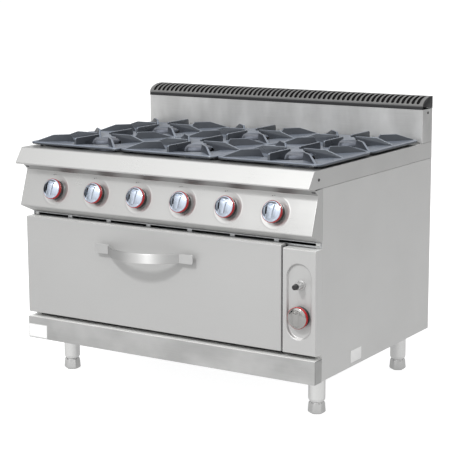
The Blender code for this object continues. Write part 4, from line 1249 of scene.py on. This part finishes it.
def make_legs():
    """Round tubes with a plate on top, each over a six-sided levelling foot on its screw."""
    leg_profile = [(0.0125, 0.0430), (0.0240, 0.0430), (0.0251, 0.0436), (0.0254, 0.0448), (0.0278, 0.0488)]
    leg_profile += [
        (0.0287, 0.0508), (0.0290, 0.0535), (0.0290, 0.1420), (0.0300, 0.1436), (0.0302, 0.1450),
        (0.0, 0.1450)
    ]
    leg = turned([(0.0, 0.0600), (0.0125, 0.0600)] + leg_profile, 80, "leg")
    plate = tile((-0.045, -0.045), (0.045, 0.045), 0.008, 6, 0.1440, 0.1469, 0.0006, "plate")
    steps = 96

    def hexagon(radius, height, share):
        ring = []
        for x, y, z in circle(1.0, height, steps):
            turn = math.atan2(y, x)
            off = (turn + math.pi / 6 + math.pi / 3) % (math.pi / 3) - math.pi / 6
            reach = 1 + (math.cos(math.pi / 6) / math.cos(off) * 1.08 - 1) * share
            ring.append((x * radius * reach, y * radius * reach, z))
        return ring

    rings = [
        circle(1e-7, 0.0, steps), hexagon(0.0210, 0.0, 0.6), hexagon(0.0240, 0.0014, 1.0),
        hexagon(0.0274, 0.0052, 1.0)
    ]
    rings += [hexagon(0.0282, 0.0068, 1.0), hexagon(0.0266, 0.0300, 1.0), hexagon(0.0258, 0.0385, 0.8)]
    rings += [circle(0.0248, 0.0400, steps), circle(0.0245, 0.0420, steps), circle(0.0240, 0.0427, steps)]
    rings += [circle(0.0118, 0.0427, steps), circle(0.0118, 0.0900, steps), circle(1e-7, 0.0900, steps)]
    foot = loft(rings, name="foot")
    for end in ("front", "rear"):
        for side in ("left", "right"):
            name = f"{end}_{side}"
            low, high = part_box(f"leg_{name}")
            place = Matrix.Translation(((low.x + high.x) / 2, (low.y + high.y) / 2, 0))
            stands_for = [f"leg_{name}"]
            put(f"leg_tube_{name}", leg, BODY_POST, "root", stands_for, place)
            put(f"leg_plate_{name}", plate, BODY_POST, "root", stands_for, place)
            body = f"foot_{name}"
            put(f"foot_end_{name}", foot, FOOT_STEEL, body, [body], place, sharp=24)


# ---------------------------------------------------------------- small fittings


def make_fittings():
    """Blank labels and the few screw heads that show."""
    plinth_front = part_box("plinth")[0].y
    label = tile((0.0, 0.0), (0.084, 0.050), 0.002, 4, 0.0, 0.0006, 0.0002, "label")
    border = tile((0.004, 0.004), (0.080, 0.046), 0.001, 3, 0.0005, 0.0008, 0.0001, "label_field")
    front = Matrix.Translation((-0.598, plinth_front, 0.1475)) @ Matrix.Rotation(math.pi / 2, 4, "X")
    side = Matrix.Translation((HALF, -0.142, 0.157))
    side = side @ Matrix.Rotation(math.pi / 2, 4, "Z") @ Matrix.Rotation(math.pi / 2, 4, "X")
    for name, place in (("front", front), ("side", side)):
        put(f"label_{name}", label, LABEL, place=place)
        put(f"label_{name}_field", border, WHITE_MARK, place=place)
    screw = [
        (0.0, -0.0005), (0.0050, -0.0005), (0.0050, 0.0006), (0.0044, 0.0016), (0.0028, 0.0024),
        (0.0, 0.0027)
    ]
    screw = turned(screw, 32, "screw")
    for side, name in ((-1, "left"), (1, "right")):
        turn = Matrix.Rotation(side * math.pi / 2, 4, "Y")
        for place_name, y, z in (("splash", 0.4463, 0.958), ("hob", -0.370, 0.819)):
            place = Matrix.Translation((side * HALF, y, z)) @ turn
            put(f"{place_name}_screw_{name}", screw, PLASTIC, place=place)


# ---------------------------------------------------------------- studio


def make_floor():
    """Pale floor, which glows to the camera until it is white, and less to everything else."""
    bm = bmesh.new()
    bmesh.ops.create_grid(bm, x_segments=1, y_segments=1, size=30.0)
    mesh = finished(bm, "floor")
    floor = bpy.data.objects.new("floor", mesh)
    SCENE.collection.objects.link(floor)
    glow = {"Specular_IOR_Level": 0.2, "Emission_Color": (1.0, 1.0, 1.0, 1.0)}
    look = Look("pale_floor", (0.32, 0.32, 0.32), 0.60, **glow)
    look.tint(look.ramp(look.noise(2.0), 0.3, 0.7, 0.0, 1.0), (0.30, 0.30, 0.30))
    seen = look.add("ShaderNodeLightPath").outputs["Is Camera Ray"]
    look.tree.links.new(look.ramp(seen, 0.0, 1.0, 0.39, 0.92), look.shader.inputs["Emission Strength"])
    mesh.materials.append(look.material)
    floor.location.z = -0.0005


def direction(azimuth, elevation):
    """Unit vector towards a light. Azimuth 0 is the range's front, and it grows to the right."""
    turn, rise = math.radians(azimuth), math.radians(elevation)
    return Vector((math.sin(turn) * math.cos(rise), -math.cos(turn) * math.cos(rise), math.sin(rise)))


# Levels of the room: at its darkest, away from the lobes, and as the camera sees it
ROOM_DARKEST, ROOM_LEVEL, ROOM_SHOWN = 0.02, 0.12, 1.05
# Azimuth, elevation, the angles at which each lobe starts to fade and has gone, and its gain
LOBES = (
    (0, 90, 20, 80, 0.80),
    (-5, 35, 12, 62, 1.02),
    (-150, 12, 14, 44, 0.62),
    (80, 22, 8, 34, 0.48),
    (-98, 14, 16, 52, -0.40),
)


def make_world():
    """A dim room with bright lobes overhead, in front, behind and at the right, and a dark one at the left.
    The camera itself sees it as white."""
    world = bpy.data.worlds.new("studio")
    world.use_nodes = True
    SCENE.world = world
    tree = world.node_tree
    towards = tree.nodes.new("ShaderNodeTexCoord").outputs["Generated"]
    level = ROOM_LEVEL
    for azimuth, elevation, inner, outer, gain in LOBES:
        inputs = {0: towards, 1: direction(azimuth, elevation)}
        aim = add_node(tree, "ShaderNodeVectorMath", inputs, operation="DOT_PRODUCT")
        inputs = {
            "Value": aim.outputs["Value"], "From Min": math.cos(math.radians(outer)),
            "From Max": math.cos(math.radians(inner)), "To Max": gain,
        }
        lobe = add_node(tree, "ShaderNodeMapRange", inputs, interpolation_type="SMOOTHSTEP")
        level = add_node(tree, "ShaderNodeMath", {0: lobe.outputs["Result"], 1: level}).outputs[0]
    level = add_node(tree, "ShaderNodeMath", {0: level, 1: ROOM_DARKEST}, operation="MAXIMUM").outputs[0]
    seen = tree.nodes.new("ShaderNodeLightPath").outputs["Is Camera Ray"]
    shown = add_node(tree, "ShaderNodeMix", {0: seen, 2: level, 3: ROOM_SHOWN}).outputs[0]
    background = tree.nodes["Background"]
    tree.links.new(shown, background.inputs["Strength"])
    background.inputs["Color"].default_value = (1.0, 1.0, 1.0, 1.0)


def add_light(name, azimuth, elevation, distance, size, energy, target=(0, -0.3, 0.6)):
    light = bpy.data.lights.new(name, "AREA")
    light.shape, light.size, light.energy = "DISK", size, energy
    lamp = bpy.data.objects.new(name, light)
    SCENE.collection.objects.link(lamp)
    aim = direction(azimuth, elevation)
    lamp.location = Vector(target) + aim * distance
    lamp.rotation_euler = aim.to_track_quat("Z", "Y").to_euler()


def make_camera():
    """From the front right, a little above the hob, through a long lens."""
    camera = bpy.data.cameras.new("camera")
    camera.lens = 116.28
    camera.sensor_width = 36.0
    camera.shift_x = -0.0002
    camera.shift_y = 0.0027
    camera.clip_end = 100.0
    holder = bpy.data.objects.new("camera", camera)
    SCENE.collection.objects.link(holder)
    yaw, pitch, roll = math.radians(32.48), math.radians(10.52), math.radians(-0.278)
    forward = Vector((-math.sin(yaw) * math.cos(pitch), math.cos(yaw) * math.cos(pitch), -math.sin(pitch)))
    right = Vector((math.cos(yaw), math.sin(yaw), 0))
    up = right.cross(forward)
    across = right * math.cos(roll) + up * math.sin(roll)
    upright = up * math.cos(roll) - right * math.sin(roll)
    turn = Matrix((across, upright, -forward)).transposed().to_4x4()
    holder.matrix_world = Matrix.Translation((2.7979, -4.37845, 1.5187)) @ turn
    SCENE.camera = holder


panel_measures()
make_camera()
make_kept_nodes()
make_plinth()
make_hob()
make_vent_cap()
make_control_panel()
make_knobs()
make_control_box()
make_igniter()
make_door()
make_handle()
make_rack()
make_burners()
make_pan_supports()
make_legs()
make_fittings()
make_floor()
make_world()
add_light("key", azimuth=1.0, elevation=38.0, distance=4.2, size=0.45, energy=98.0)
SCENE.view_settings.view_transform = "Standard"
SCENE.view_settings.look = "None"
